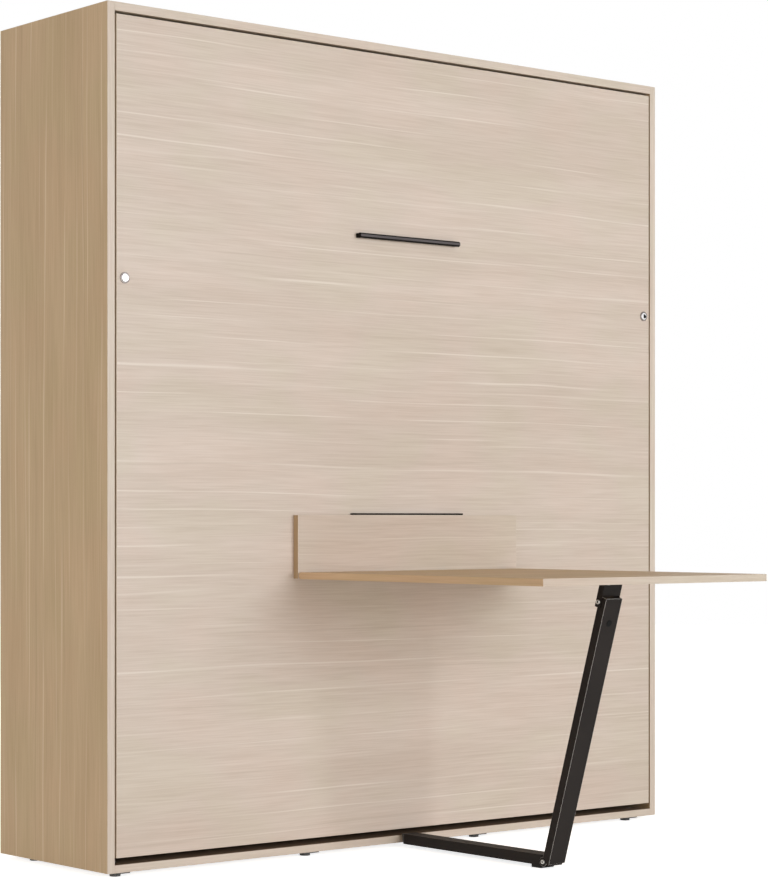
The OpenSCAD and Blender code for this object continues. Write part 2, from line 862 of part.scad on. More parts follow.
// a channel, open to the bed, with a closed head and an ear about the foot's axis
module desk_leg() {
    leg_end = -leg_length + leg_end_gap;
    color(steel_black) leg_frame() difference() {
        union() {
            block([-leg_half, leg_front, leg_end], [leg_half, leg_front + leg_wall, leg_head]);
            block([-leg_half, leg_front, leg_head - leg_wall], [leg_half, leg_back, leg_head]);
            on_both_sides() {
                block([leg_half - leg_wall, leg_front, leg_end], [leg_half, leg_back, leg_head]);
                bar_x(leg_half - leg_wall, leg_half, 0, -leg_length, ear_radius);
            }
        }
        bar_x(-leg_width, leg_width, 0, 0, bolt_radius + turn_gap);
        bar_x(-leg_width, leg_width, 0, -leg_length, bolt_radius + press_gap);
        bar_y(0, leg_front - cut, leg_front + leg_wall + cut, -plug_drop, plug_radius + press_gap);
    }
}

module leg_plug() {
    color(plastic_black) leg_frame() {
        bar_y(0, leg_front - plug_rim[1], leg_front, -plug_drop, plug_radius + plug_rim[0]);
        bar_y(0, leg_front, leg_front + leg_wall + plug_rim[1], -plug_drop, plug_radius);
    }
}

module foot_pivot_bolt() {
    color(zinc) cross_bolt(foot_axis_y, foot_axis_z, leg_half);
}

// ---- foot bar ----

// a rectangular tube whose near end is rounded about its axis, inside the leg
module foot_bar() {
    end_y = bar_end_y - cap_thickness - cap_slant;
    color(steel_black) difference() {
        union() {
            block([-bar_half, foot_axis_y, bar_low], [bar_half, end_y, bar_low + bar_height]);
            intersection() {
                bar_x(-bar_half, bar_half, foot_axis_y, foot_axis_z, bar_nose);
                block([-bar_half, foot_axis_y - bar_nose, bar_low],
                    [bar_half, foot_axis_y, bar_low + bar_height]);
            }
        }
        block([-bar_half + leg_wall, foot_axis_y + bar_solid, bar_low + leg_wall],
            [bar_half - leg_wall, end_y + cut, bar_low + bar_height - leg_wall]);
        bar_x(-leg_width, leg_width, foot_axis_y, foot_axis_z, bolt_radius + turn_gap);
    }
}

module foot_bar_cap() {
    end_y = bar_end_y - cap_thickness - cap_slant;
    tenon_half = bar_half - leg_wall - cap_play;
    color(plastic_black) {
        plate_x(-bar_half, bar_half) polygon([[end_y, bar_low], [end_y + cap_thickness, bar_low],
            [bar_end_y, bar_low + bar_height], [end_y, bar_low + bar_height]]);
        block([-tenon_half, end_y - cap_tenon, bar_low + leg_wall + cap_play],
            [tenon_half, end_y, bar_low + bar_height - leg_wall - cap_play]);
    }
}

module foot_pad() {
    color(plastic_black) block([-bar_half + part_gap, foot_axis_y + pad_start, 0],
        [bar_half - part_gap, foot_axis_y + pad_start + pad_length, pad_height]);
}

// ---- support leg of the bed ----

// one bent tube: down from each axis, back past the mattress and across behind it
module bed_leg_bow() {
    y0 = bow_axis[0];
    z0 = bow_axis[1];
    cross_y = y0 + bow_reach;
    low_z = z0 - bow_drop;
    color(steel_black) {
        on_both_sides() {
            difference() {
                union() {
                    bar_x(bow_x - bow_radius, bow_x + bow_radius, y0, z0, bow_radius + bow_eye_wall);
                    translate([bow_x, y0, low_z + bow_bend])
                        cylinder(r = bow_radius, h = bow_drop - bow_bend);
                }
                bar_x(bow_x - 2 * bow_radius, bow_x + 2 * bow_radius, y0, z0, bow_pin_radius + turn_gap);
            }
            translate([bow_x, y0 + bow_bend, low_z + bow_bend]) rotate([0, 90, 0]) rotate([0, 0, -90])
                bend_across(bow_radius, bow_bend);
            bar_y(bow_x, y0 + bow_bend, cross_y - bow_bend, low_z, bow_radius);
            translate([bow_x - bow_bend, cross_y - bow_bend, low_z]) bend_across(bow_radius, bow_bend);
        }
        bar_x(-bow_x + bow_bend, bow_x - bow_bend, cross_y, low_z, bow_radius);
    }
}

module bed_leg_feet() {
    cross_y = bow_axis[0] + bow_reach;
    low_z = bow_axis[1] - bow_drop;
    color(plastic_black) on_both_sides() difference() {
        bar_x(bow_foot_x, bow_foot_x + bow_foot_length, cross_y, low_z, bow_radius + bow_pad);
        bar_x(bow_foot_x - cut, bow_foot_x + bow_foot_length + cut, cross_y, low_z, bow_radius + press_gap);
    }
}

// ---- gas struts ----

// the strut's own frame: at its fixed pin, with the stud straight below
module strut_frame(side) {
    translate([side * strut_x, strut_pin[0], strut_pin[1]]) rotate([strut_angle, 0, 0]) children();
}

module strut_eye(bore_radius) {
    difference() {
        bar_x(-strut_eye_width / 2, strut_eye_width / 2, 0, 0, strut_eye_radius);
        bar_x(-strut_eye_width, strut_eye_width, 0, 0, bore_radius);
    }
}

module strut_tube(side) {
    tube_length = strut_tube_end - strut_tube_start;
    color(steel_black) strut_frame(side) {
        strut_eye(strut_pin_radius + turn_gap);
        difference() {
            translate([0, 0, -strut_tube_end])
                cylinder(r = strut_diameter / 2, h = tube_length);
            translate([0, 0, -strut_tube_end + strut_end_wall])
                cylinder(r = strut_diameter / 2 - strut_tube_wall, h = tube_length - 2 * strut_end_wall);
            translate([0, 0, -strut_tube_end - cut])
                cylinder(r = strut_rod_diameter / 2 + turn_gap, h = strut_end_wall + 2 * cut);
        }
        translate([0, 0, -strut_tube_start])
            cylinder(r = strut_neck_radius, h = strut_tube_start - strut_eye_radius + 2 * eye_bite);
    }
}

module strut_rod(side) {
    strut_rod_end = strut_span - strut_eye_radius + eye_bite;
    color(chrome) strut_frame(side) {
        translate([0, 0, -strut_span]) strut_eye(strut_pin_radius + turn_gap);
        translate([0, 0, -strut_rod_end])
            cylinder(r = strut_rod_diameter / 2, h = strut_rod_end - strut_rod_start);
        translate([0, 0, -strut_rod_start - strut_piston])
            cylinder(r = strut_diameter / 2 - strut_tube_wall - turn_gap, h = strut_piston);
    }
}

// ---- locks ----

module lock_knob(side) {
    slot_back = front_y - lock_proud - lock_knob_step + lock_slot[2];
    color(chrome) on_side(side) difference() {
        union() {
            bar_y(lock_x, front_y - lock_proud - lock_knob_step, knob_back, lock_height, lock_knob_radius);
            bar_y(lock_x, knob_back, cam_front + cam_thickness + spindle_tip, lock_height, spindle_radius);
        }
        block([lock_x - lock_slot[0] / 2, slot_back - lock_slot[2] - cut, lock_height - lock_slot[1] / 2],
            [lock_x + lock_slot[0] / 2, slot_back, lock_height + lock_slot[1] / 2]);
    }
}

module lock_cam(side) {
    color(zinc) on_side(side) difference() {
        union() {
            bar_y(lock_x, cam_front, cam_front + cam_thickness, lock_height, cam_width / 2 + cam_hub_wall);
            block([lock_x - cam_width / 2, cam_front, lock_height - cam_reach],
                [lock_x + cam_width / 2, cam_front + cam_thickness, lock_height]);
        }
        bar_y(lock_x, cam_front - cut, cam_front + cam_thickness + cut, lock_height,
            spindle_radius + press_gap);
    }
}

side_panel(-1);  // side_panel_left
side_panel(1);  // side_panel_right
top_panel();
bottom_panel();
back_panel(-1);  // back_panel_left
back_panel(1);  // back_panel_right
back_joiner_strip();
wall_rail();
middle_rail();
lower_rail();
panel_cams();
foot_plates();
levelling_feet();
pivot_plates();
pivot_pins();
strut_brackets();
lock_strikers();
door_stops();
fitting_screws();
front_panel();
side_rail(-1);  // side_rail_left
side_rail(1);  // side_rail_right
head_rail();
foot_rail();
centre_beam();
slats(-1);  // slats_left
slats(1);  // slats_right
slat_holders();
pivot_arm(-1);  // pivot_arm_left
pivot_arm(1);  // pivot_arm_right
pivot_bushes();
mattress_hoop();
pull_handle();
lock_rings();
desk_board();
board_strip();
desk_hinge_knuckles();
desk_hinge_pins();
bed_leg_brackets();
panel_screws();
desk_top();
leg_bracket();
bracket_screws();
leg_pivot_bolt();
desk_leg();
leg_plug();
foot_pivot_bolt();
foot_bar();
foot_bar_cap();
foot_pad();
bed_leg_bow();
bed_leg_feet();
strut_tube(-1);  // strut_tube_left
strut_tube(1);  // strut_tube_right
strut_rod(-1);  // strut_rod_left
strut_rod(1);  // strut_rod_right
lock_knob(-1);  // lock_knob_left
lock_knob(1);  // lock_knob_right
lock_cam(-1);  // lock_cam_left
lock_cam(1);  // lock_cam_right
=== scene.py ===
import json
from math import cos, pi, radians, sin

import bmesh
import bpy
from mathutils import Matrix, Vector


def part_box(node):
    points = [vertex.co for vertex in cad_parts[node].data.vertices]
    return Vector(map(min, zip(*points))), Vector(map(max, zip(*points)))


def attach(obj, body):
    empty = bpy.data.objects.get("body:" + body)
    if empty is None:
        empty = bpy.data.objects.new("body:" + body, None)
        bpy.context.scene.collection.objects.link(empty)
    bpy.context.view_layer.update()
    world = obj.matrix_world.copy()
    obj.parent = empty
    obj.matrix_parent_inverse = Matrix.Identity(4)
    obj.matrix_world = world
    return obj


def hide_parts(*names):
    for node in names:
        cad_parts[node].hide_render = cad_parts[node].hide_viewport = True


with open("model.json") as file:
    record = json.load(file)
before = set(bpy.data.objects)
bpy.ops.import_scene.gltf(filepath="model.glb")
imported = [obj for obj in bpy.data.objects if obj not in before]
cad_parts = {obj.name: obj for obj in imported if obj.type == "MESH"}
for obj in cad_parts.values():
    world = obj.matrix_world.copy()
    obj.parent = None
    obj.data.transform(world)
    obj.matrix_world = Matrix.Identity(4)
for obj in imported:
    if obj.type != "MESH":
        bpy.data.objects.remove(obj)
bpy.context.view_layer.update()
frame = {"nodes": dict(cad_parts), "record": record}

# ---- cabinet boards ----
# Melamine faced chipboard, 22 mm, with a printed pale oak decor and a 1 mm ABS band on each edge.
# The boards are sawn, banded and rounded over by a millimetre, and screwed together from inside.

CABINET_EDGE = 0.0010   # rounding of the edge band, metres
FIBRE = 0.0036          # width of one printed fibre line, metres, coarser than the real 1 mm
FIBRE_LENGTH = 0.16     # length of a fibre line, metres
THREAD_GAP = 0.060      # average distance between the long thin threads of the decor, metres
THREAD_RUN = 5.0        # length over which a thread wanders sideways, metres
THREAD_BUNDLE = 2.5     # number of gaps over which neighbouring threads wander together
THREAD_DRIFT = 1.6      # how far a thread wanders, in gaps
THREAD_LENGTH = 0.60    # length of the stretch on which a thread shows, metres
THREAD_PATCH = 1.6      # number of gaps over which neighbouring threads show together
THREAD_SHOWS = 0.43, 0.62  # noise at which a thread begins to show, and shows in full
THREAD = 0.0022         # half of a thread's width, metres
THREAD_FADE = 1.3, 0.2  # where its tint begins and is full, in half widths from its middle
BAND = 0.075            # width of a broad, slightly darker band of the decor, metres
BAND_LENGTH = 0.90      # length of such a band, metres
CLOUD = 0.16            # width of the faint pink and green patches in the print, metres
SAME_PLACE = 2e-6       # corners closer together than this are one, metres
SAME_PLANE = radians(0.5)  # faces that meet at less than this angle are one flat face
SHARP = radians(32)     # an edge of a CAD shape with a larger angle than this is rounded over
CREASE = radians(35)    # the same for a piece made by a recipe
FACING = 0.5            # share of an axis in a face's normal, above which the face looks along it


def linear(colour):
    """An sRGB hex colour as linear red, green, blue and alpha."""
    shares = [int(colour[i:i + 2], 16) / 255 for i in (1, 3, 5)]
    return (*(c / 12.92 if c <= 0.04045 else ((c + 0.055) / 1.055) ** 2.4 for c in shares), 1.0)


def in_use(sockets, name=None):
    """The first of a node's sockets that is in use, or the first such one with a name."""
    return next(s for s in sockets if s.enabled and name in (None, s.name))


def link(tree, node, links):
    """Sets inputs of a node, given by name or place, to values, where a text with # is an sRGB
    colour, or links them to a socket, to a node's result or to a list of results."""
    for name, value in links.items():
        socket = node.inputs[name] if isinstance(name, int) else in_use(node.inputs, name)
        for source in value if isinstance(value, list) else [value]:
            if isinstance(source, bpy.types.Node):
                source = in_use(source.outputs)
            if isinstance(source, bpy.types.NodeSocket):
                tree.links.new(source, socket)
            elif isinstance(source, str) and source[0] == "#":
                socket.default_value = linear(source)
            else:
                socket.default_value = source


def add(tree, kind, links=None, stops=(), **settings):
    """A node with its settings and links. stops are a colour ramp's positions and sRGB colours."""
    node = tree.nodes.new(kind)
    for name, value in settings.items():
        setattr(node, name, value)
    link(tree, node, links or {})
    if stops:
        marks = node.color_ramp.elements
        while len(marks) < len(stops):
            marks.new(0.5)
        for mark, (place, colour) in zip(marks, stops):
            mark.position, mark.color = place, linear(colour)
    return node


def finish(name, base, rough, **values):
    """A material with one Principled shader, its tree, its shader and its Object coordinates."""
    mat = bpy.data.materials.new(name)
    mat.use_nodes = True
    tree = mat.node_tree
    shader = tree.nodes["Principled BSDF"]
    shader.inputs["Base Color"].default_value = linear(base)
    shader.inputs["Roughness"].default_value = rough
    for key, value in values.items():
        shader.inputs[key.replace("_", " ")].default_value = value
    mat.diffuse_color = linear(base)
    return mat, tree, shader, add(tree, "ShaderNodeTexCoord").outputs["Object"]


def lines(tree, coords, grain, width, length, detail, offset=0.0):
    """Noise drawn out along the grain: lines of that width and length in metres. offset gives each
    its own place in the noise."""
    scale = tuple(1 / (length if axis == grain else width) for axis in "XYZ")
    place = add(tree, "ShaderNodeMapping", {"Vector": coords, "Location": (offset,) * 3,
                                            "Scale": scale})
    return add(tree, "ShaderNodeTexNoise", {"Vector": place, "Scale": 1.0, "Detail": detail,
                                            "Roughness": 0.55})


def threads(tree, coords, grain, gap, offset):
    """Long thin lines side by side, unevenly spaced, each showing on part of its length only."""
    across = add(tree, "ShaderNodeVectorMath",
                 {0: coords, 1: tuple((axis != grain) / gap for axis in "XYZ")},
                 operation="DOT_PRODUCT")
    drift = lines(tree, coords, grain, gap * THREAD_BUNDLE, THREAD_RUN, 0.0, offset)
    place = add(tree, "ShaderNodeMath", {0: drift, 1: THREAD_DRIFT, 2: across},
                operation="MULTIPLY_ADD")
    away = add(tree, "ShaderNodeMath", {0: place, 1: 0.5}, operation="PINGPONG")
    far, near = (THREAD * share / gap for share in THREAD_FADE)
    line = add(tree, "ShaderNodeMapRange", {"Value": away, "From Min": far, "From Max": near},
               interpolation_type="SMOOTHSTEP")
    part = lines(tree, coords, grain, gap * THREAD_PATCH, THREAD_LENGTH, 1.0, offset + 13)
    part = add(tree, "ShaderNodeMapRange", {"Value": part, "From Min": THREAD_SHOWS[0],
                                            "From Max": THREAD_SHOWS[1]})
    return add(tree, "ShaderNodeMath", {0: line, 1: part}, operation="MULTIPLY")


def oak(name, grain, light, dark, cream, vein, offset=0.0, rough=0.46, sway=0.024, marked=1.0):
    """Printed oak paper under melamine: satin and calm, with short fibres, a few long cream
    threads, fewer dark ones, and pink and green patches so faint that they only tint it."""
    mat, tree, shader, coords = finish(name, light, rough)
    wave = add(tree, "ShaderNodeTexNoise", {"Vector": coords, "Scale": 1.5, "Detail": 1.0})
    wave = add(tree, "ShaderNodeVectorMath", {0: wave.outputs["Color"], 1: (sway,) * 3},
               operation="MULTIPLY")
    bent = add(tree, "ShaderNodeVectorMath", {0: coords, 1: wave})
    band = lines(tree, bent, grain, BAND, BAND_LENGTH, 3.0, offset)
    fibre = lines(tree, bent, grain, FIBRE, FIBRE_LENGTH, 3.0, offset + 3)
    patch = lines(tree, coords, grain, CLOUD, CLOUD * 1.6, 1.0, offset + 5)
    colour = add(tree, "ShaderNodeValToRGB", {"Fac": band}, ((0.34, dark), (0.62, light)))
    patch = add(tree, "ShaderNodeValToRGB", {"Fac": patch},
                ((0.36, "#FFFCFB"), (0.50, "#FDFCFB"), (0.64, "#FBFCF8")))
    shade = add(tree, "ShaderNodeValToRGB", {"Fac": fibre}, ((0.30, "#F4F1EE"), (0.62, "#FFFFFF")))
    for layer in (patch, shade):
        colour = add(tree, "ShaderNodeMix", {"Factor": 1.0, "A": colour, "B": layer},
                     data_type="RGBA", blend_type="MULTIPLY")
    for tint, share, gap, shift in ((cream, 0.50, THREAD_GAP, 7),
                                    (cream, 0.22, THREAD_GAP * 1.1, 19),
                                    (vein, 0.30, THREAD_GAP * 1.5, 31)):
        thread = threads(tree, bent, grain, gap, offset + shift)
        thread = add(tree, "ShaderNodeMath", {0: thread, 1: share * marked}, operation="MULTIPLY")
        colour = add(tree, "ShaderNodeMix", {"Factor": thread, "A": colour, "B": tint},
                     data_type="RGBA")
    gloss = add(tree, "ShaderNodeMapRange", {"Value": fibre, "To Min": rough + 0.08,
                                             "To Max": rough - 0.06})
    bump = add(tree, "ShaderNodeBump", {"Height": fibre, "Strength": 0.08, "Distance": 0.0005})
    link(tree, shader, {"Base Color": colour, "Roughness": gloss, "Normal": bump})
    return mat


# The body on which each CAD node moves, from the record.
body_of_node = {n: b for b, names in frame["record"]["behaviour"]["bodies"].items() for n in names}


def bake(obj):
    """The object with its modifiers applied to a plain mesh."""
    bpy.context.view_layer.update()
    mesh = bpy.data.meshes.new_from_object(obj.evaluated_get(bpy.context.evaluated_depsgraph_get()))
    obj.modifiers.clear()
    obj.data = mesh
    mesh.name = obj.name
    return obj


def settle(obj, slot, *nodes):
    """A finished piece rides on the body of the nodes it stands for, which are hidden. slot is not
    used.
    """
    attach(obj, body_of_node[nodes[0]])
    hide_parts(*nodes)


def merged(node):
    """A CAD node's faces in a new bmesh, joined up and with its flat faces whole."""
    bm = bmesh.new()
    bm.from_mesh(frame["nodes"][node].data)
    bmesh.ops.remove_doubles(bm, verts=bm.verts, dist=SAME_PLACE)
    bmesh.ops.dissolve_limit(bm, angle_limit=SAME_PLANE, verts=bm.verts, edges=bm.edges)
    return bm


def faces(broad, flank=""):
    """Material 0 for faces that look along the broad axis, 2 along the flank axis, else 1."""
    def material(normal):
        for axis, number in ((broad, 0), (flank, 2)):
            if axis and abs(normal["XYZ".index(axis)]) > FACING:
                return number
        return 1
    return material


def rounded(node, radius, mats, slot, side=None, rim=None, steps=2):
    """A CAD node's shape with its edges rounded over, radius in metres. side gives a face's
    material from its normal, and rim is the material of the rounded edges."""
    bm = merged(node)
    for face in bm.faces:
        face.smooth = True
        face.material_index = side(face.normal) if side else 0
    obj = bpy.data.objects.new(node + "_dressed", bpy.data.meshes.new(node + "_dressed"))
    bm.to_mesh(obj.data)
    bm.free()
    bpy.context.scene.collection.objects.link(obj)
    for mat in mats:
        obj.data.materials.append(mat)
    bevel = obj.modifiers.new("edges", "BEVEL")
    bevel.width = radius
    bevel.segments = steps
    bevel.limit_method = "ANGLE"
    bevel.angle_limit = SHARP
    bevel.use_clamp_overlap = True
    if rim is not None:
        bevel.material = rim
    flats = obj.modifiers.new("flat faces stay flat", "WEIGHTED_NORMAL")
    flats.mode, flats.weight, flats.keep_sharp = "FACE_AREA", 100, False
    settle(bake(obj), slot, node)


# The side panels' outer faces get a darker, warmer copy of the decor than the front: painted shade
# on the sides.
side_oak_painted_shade = oak("side_decor_upright_oak", "Z", "#CDB594", "#C4AB89", "#DDCBB0", "#AC9070", 11.0,
               sway=0.010, marked=1.6)
level_oak = oak("board_decor_level_oak", "X", "#D2C1AE", "#C9B7A3", "#E0D2C1", "#B39E88", 5.0)
EDGE_TONES = "#D9CCBF", "#D3C5B7", "#E6DBCE", "#C3B2A0"
edge_upright = oak("abs_edge_band_upright", "Z", *EDGE_TONES, 23.0, 0.42)
edge_level = oak("abs_edge_band_level", "X", *EDGE_TONES, 29.0, 0.42)

for node in ("side_panel_left", "side_panel_right"):
    rounded(node, CABINET_EDGE, [side_oak_painted_shade, edge_upright], "oak_board", faces("X"), 1)
rounded("top_panel", CABINET_EDGE, [level_oak, edge_level], "oak_board", faces("Z"), 1)
# The photograph shows the bottom board's upper face dark in the gap under the front board.
# Its upper face gets a dark copy of the decor: painted shade in the gap under the front board.
bottom_top_painted_shade_oak = oak("bottom_decor_dark_oak", "X", "#937A64", "#8A725C", "#9E8670", "#7A6450", 5.0)
rounded("bottom_panel", CABINET_EDGE, [level_oak, edge_level, bottom_top_painted_shade_oak], "oak_board",
        lambda n: 2 if n.z > FACING else (0 if n.z < -FACING else 1), 1)

# ---- rear rails and back boards ----
# Three rails of the same board are screwed between the sides. Two thin hardboard backs, white on
# the inside and brown behind, are nailed to them and meet in a folded plastic strip.

for node in ("wall_rail", "middle_rail", "lower_rail"):
    rounded(node, 0.0008, [level_oak, edge_level], "oak_board", faces("Y"), 1)


def hardboard(name, base, speck, grit, rough):
    """Pressed fibre board: flat and dull, speckled with single darker fibres."""
    mat, tree, shader, coords = finish(name, base, rough)
    fine = add(tree, "ShaderNodeTexNoise", {"Vector": coords, "Scale": 1 / grit, "Detail": 3.0})
    cloud = add(tree, "ShaderNodeTexNoise", {"Vector": coords, "Scale": 2.2, "Detail": 2.0})
    specks = add(tree, "ShaderNodeValToRGB", {"Fac": fine}, ((0.30, speck), (0.48, base)))
    stain = add(tree, "ShaderNodeValToRGB", {"Fac": cloud}, ((0.3, speck), (0.7, base)))
    colour = add(tree, "ShaderNodeMix", {"Factor": 0.18, "A": specks, "B": stain}, data_type="RGBA")
    bump = add(tree, "ShaderNodeBump", {"Height": fine, "Strength": 0.15, "Distance": 0.0004})
    link(tree, shader, {"Base Color": colour, "Normal": bump})
    return mat


white_side = hardboard("hardboard_white_lacquer", "#E3DED5", "#D2CBC0", 0.0035, 0.5)
raw_side = hardboard("hardboard_raw_back", "#B4946F", "#967554", 0.0030, 0.85)
for node in ("back_panel_left", "back_panel_right"):
    rounded(node, 0.0004, [white_side, raw_side], "back_board", lambda n: 1 if n.y > FACING else 0)


def moulded(name, base, rough, grit=0.0016, depth=0.0002, shine=0.5):
    """Injection moulded plastic with a fine spark eroded grain, drawn a little coarser to show."""
    mat, tree, shader, coords = finish(name, base, rough, IOR=1.49, Specular_IOR_Level=shine)
    grain = add(tree, "ShaderNodeTexNoise", {"Vector": coords, "Scale": 1 / grit, "Detail": 2.0})
    drift = add(tree, "ShaderNodeTexNoise", {"Vector": coords, "Scale": 14.0, "Detail": 2.0})
    gloss = add(tree, "ShaderNodeMapRange", {"Value": drift, "To Min": rough - 0.07,
                                             "To Max": rough + 0.09})
    wear = add(tree, "ShaderNodeValToRGB", {"Fac": drift}, ((0.3, "#101010"), (0.7, "#8E8C88")))
    colour = add(tree, "ShaderNodeMix", {"Factor": 0.32 * shine, "A": base, "B": wear},
                 data_type="RGBA")
    bump = add(tree, "ShaderNodeBump", {"Height": grain, "Strength": 0.3, "Distance": depth})
    link(tree, shader, {"Base Color": colour, "Roughness": gloss, "Normal": bump})
    return mat


black_plastic = moulded("black_polypropylene", "#1E1D1D", 0.48)
grey_plastic = moulded("grey_nylon", "#6C6E70", 0.42)
white_plastic = moulded("white_pvc_profile", "#DAD6CE", 0.4)
rounded("back_joiner_strip", 0.0003, [white_plastic], "back_board")

# ---- cam connectors, feet and small screws ----
# Cast zinc cams turn flush in bores of the top and bottom boards. Every screw head is zinc plated
# steel with a pressed cross. The feet are moulded discs with a lobed rim to turn by hand, each
# screwed through a plastic plate into the bottom board.

RECESS = 0.0012     # depth of a pressed cross, metres
BLADE = 0.24        # width of its blades, as a part of their length
HEAD_EDGE = 0.0003  # rounding of a screw head's edges, metres


def islands(node):
    """The lowest and highest corners of each loose solid in a CAD node."""
    bm = merged(node)
    left, found = set(bm.verts), []
    while left:
        grow, part = [left.pop()], []
        while grow:
            vert = grow.pop()
            part.append(vert.co.copy())
            for edge in vert.link_edges:
                other = edge.other_vert(vert)
                if other in left:
                    left.remove(other)
                    grow.append(other)
        found.append((Vector(min(p[i] for p in part) for i in range(3)),
                      Vector(max(p[i] for p in part) for i in range(3))))
    bm.free()
    return sorted(found, key=lambda pair: tuple(round(c, 4) for c in pair[0]))


def recipe(name, **inputs):
    """A geometry tree with a named input for each size, and its input sockets."""
    tree = bpy.data.node_groups.new(name, "GeometryNodeTree")
    tree.interface.new_socket("Geometry", in_out="INPUT", socket_type="NodeSocketGeometry")
    for label, kind in inputs.items():
        tree.interface.new_socket(label.replace("_", " "), in_out="INPUT",
                                  socket_type="NodeSocket" + kind)
    tree.interface.new_socket("Geometry", in_out="OUTPUT", socket_type="NodeSocketGeometry")
    return tree, tree.nodes.new("NodeGroupInput").outputs


def closed(tree, geometry, material):
    """The end of a tree: instances made real, and their material."""
    real = add(tree, "GeometryNodeRealizeInstances", {"Geometry": geometry})
    done = add(tree, "GeometryNodeSetMaterial", {"Geometry": real, "Material": material})
    add(tree, "NodeGroupOutput", {"Geometry": done})


def shaped(tree, name, points, edges, turns=(), edge=0.0, **values):
    """An object with a plain mesh, made by a tree from its sizes on points and edges."""
    mesh = bpy.data.meshes.new(name)
    mesh.from_pydata([tuple(p) for p in points], list(edges), [])
    if turns:
        data = mesh.attributes.new("turn", "FLOAT_VECTOR", "POINT")
        for item, turn in zip(data.data, turns):
            item.vector = turn
    obj = bpy.data.objects.new(name, mesh)
    bpy.context.scene.collection.objects.link(obj)
    maker = obj.modifiers.new("recipe", "NODES")
    maker.node_group = tree
    for item in tree.interface.items_tree:
        key = item.name.replace(" ", "_")
        if item.in_out == "INPUT" and key in values:
            maker[item.identifier] = values[key]
    if edge:
        bevel = obj.modifiers.new("edges", "BEVEL")
        bevel.width, bevel.segments, bevel.angle_limit = edge, 2, CREASE
        bevel.harden_normals = True
    return bake(obj)


def grown(tree, name, slot, nodes, points=((0, 0, 0),), edges=(), **values):
    """A piece made by a tree from its sizes, which stands for its nodes."""
    settle(shaped(tree, name, points, edges, **values), slot, *nodes)


def plated(name, base, rough, cloud, warm, socket_shade_attribute=""):
    """Zinc plating: dull bright metal with soft clouds and a faint straw tint. The last argument
    names the attribute of faces that are painted near black: painted shade in a hollow."""
    mat, tree, shader, coords = finish(name, base, rough, Metallic=1.0)
    patch = add(tree, "ShaderNodeTexNoise", {"Vector": coords, "Scale": 1 / cloud, "Detail": 3.0})
    colour = add(tree, "ShaderNodeValToRGB", {"Fac": patch}, ((0.35, base), (0.70, warm)))
    if socket_shade_attribute:
        inside = add(tree, "ShaderNodeAttribute", attribute_name=socket_shade_attribute).outputs["Fac"]
        colour = add(tree, "ShaderNodeMix", {"Factor": inside, "A": colour, "B": "#2A2826"},
                     data_type="RGBA")
    gloss = add(tree, "ShaderNodeMapRange", {"Value": patch, "To Min": rough - 0.08,
                                             "To Max": rough + 0.12})
    link(tree, shader, {"Base Color": colour, "Roughness": gloss})
    return mat


zinc = plated("zinc_plated_steel", "#B9BCC0", 0.34, 0.012, "#C9C4B2")
cast_zinc = plated("cast_zinc_alloy", "#A9ABAE", 0.45, 0.006, "#BDBBB5")

screws, size = recipe("screw heads with a pressed cross", Foot_radius="Float", Crown_radius="Float",
                      Height="Float", Cross="Float", Recess="Float", Seed="Int", Metal="Material")
head = add(screws, "GeometryNodeMeshCone",
           {"Vertices": 24, "Side Segments": 1, "Radius Top": size["Crown radius"],
            "Radius Bottom": size["Foot radius"], "Depth": size["Height"]})
width = add(screws, "ShaderNodeMath", {0: size["Cross"], 1: BLADE}, operation="MULTIPLY")
# A blade is twice as deep as the recess, because its upper half stands out of the head.
deep = add(screws, "ShaderNodeMath", {0: size["Recess"], 1: 2.0}, operation="MULTIPLY")
lift = add(screws, "ShaderNodeCombineXYZ", {"Z": size["Height"]})
blades = []
for long, short in (("X", "Y"), ("Y", "X")):
    blade = add(screws, "ShaderNodeCombineXYZ", {long: size["Cross"], short: width, "Z": deep})
    blade = add(screws, "GeometryNodeMeshCube", {"Size": blade})
    blades.append(add(screws, "GeometryNodeTransform", {"Geometry": blade, "Translation": lift}))
blades = add(screws, "GeometryNodeJoinGeometry", {"Geometry": blades})
pressed = add(screws, "GeometryNodeMeshBoolean",
              {"Mesh 1": head, "Mesh 2": blades, "Self Intersection": True},
              operation="DIFFERENCE", solver="EXACT")
turn = add(screws, "GeometryNodeInputNamedAttribute", {"Name": "turn"}, data_type="FLOAT_VECTOR")
heads = add(screws, "GeometryNodeInstanceOnPoints", {"Points": size["Geometry"],
                                                     "Instance": pressed, "Rotation": turn})
chance = add(screws, "FunctionNodeRandomValue", {"Min": 0.0, "Max": pi / 2, "Seed": size["Seed"]},
             data_type="FLOAT")
spin = add(screws, "ShaderNodeCombineXYZ", {"Z": chance})
heads = add(screws, "GeometryNodeRotateInstances", {"Instances": heads, "Rotation": spin,
                                                    "Local Space": True})
closed(screws, heads, size["Metal"])

# The turn that makes a head face along an axis.
ALONG = {"X": (0, pi / 2, 0), "-X": (0, -pi / 2, 0), "Y": (-pi / 2, 0, 0), "-Y": (pi / 2, 0, 0),
         "Z": (0, 0, 0), "-Z": (pi, 0, 0)}


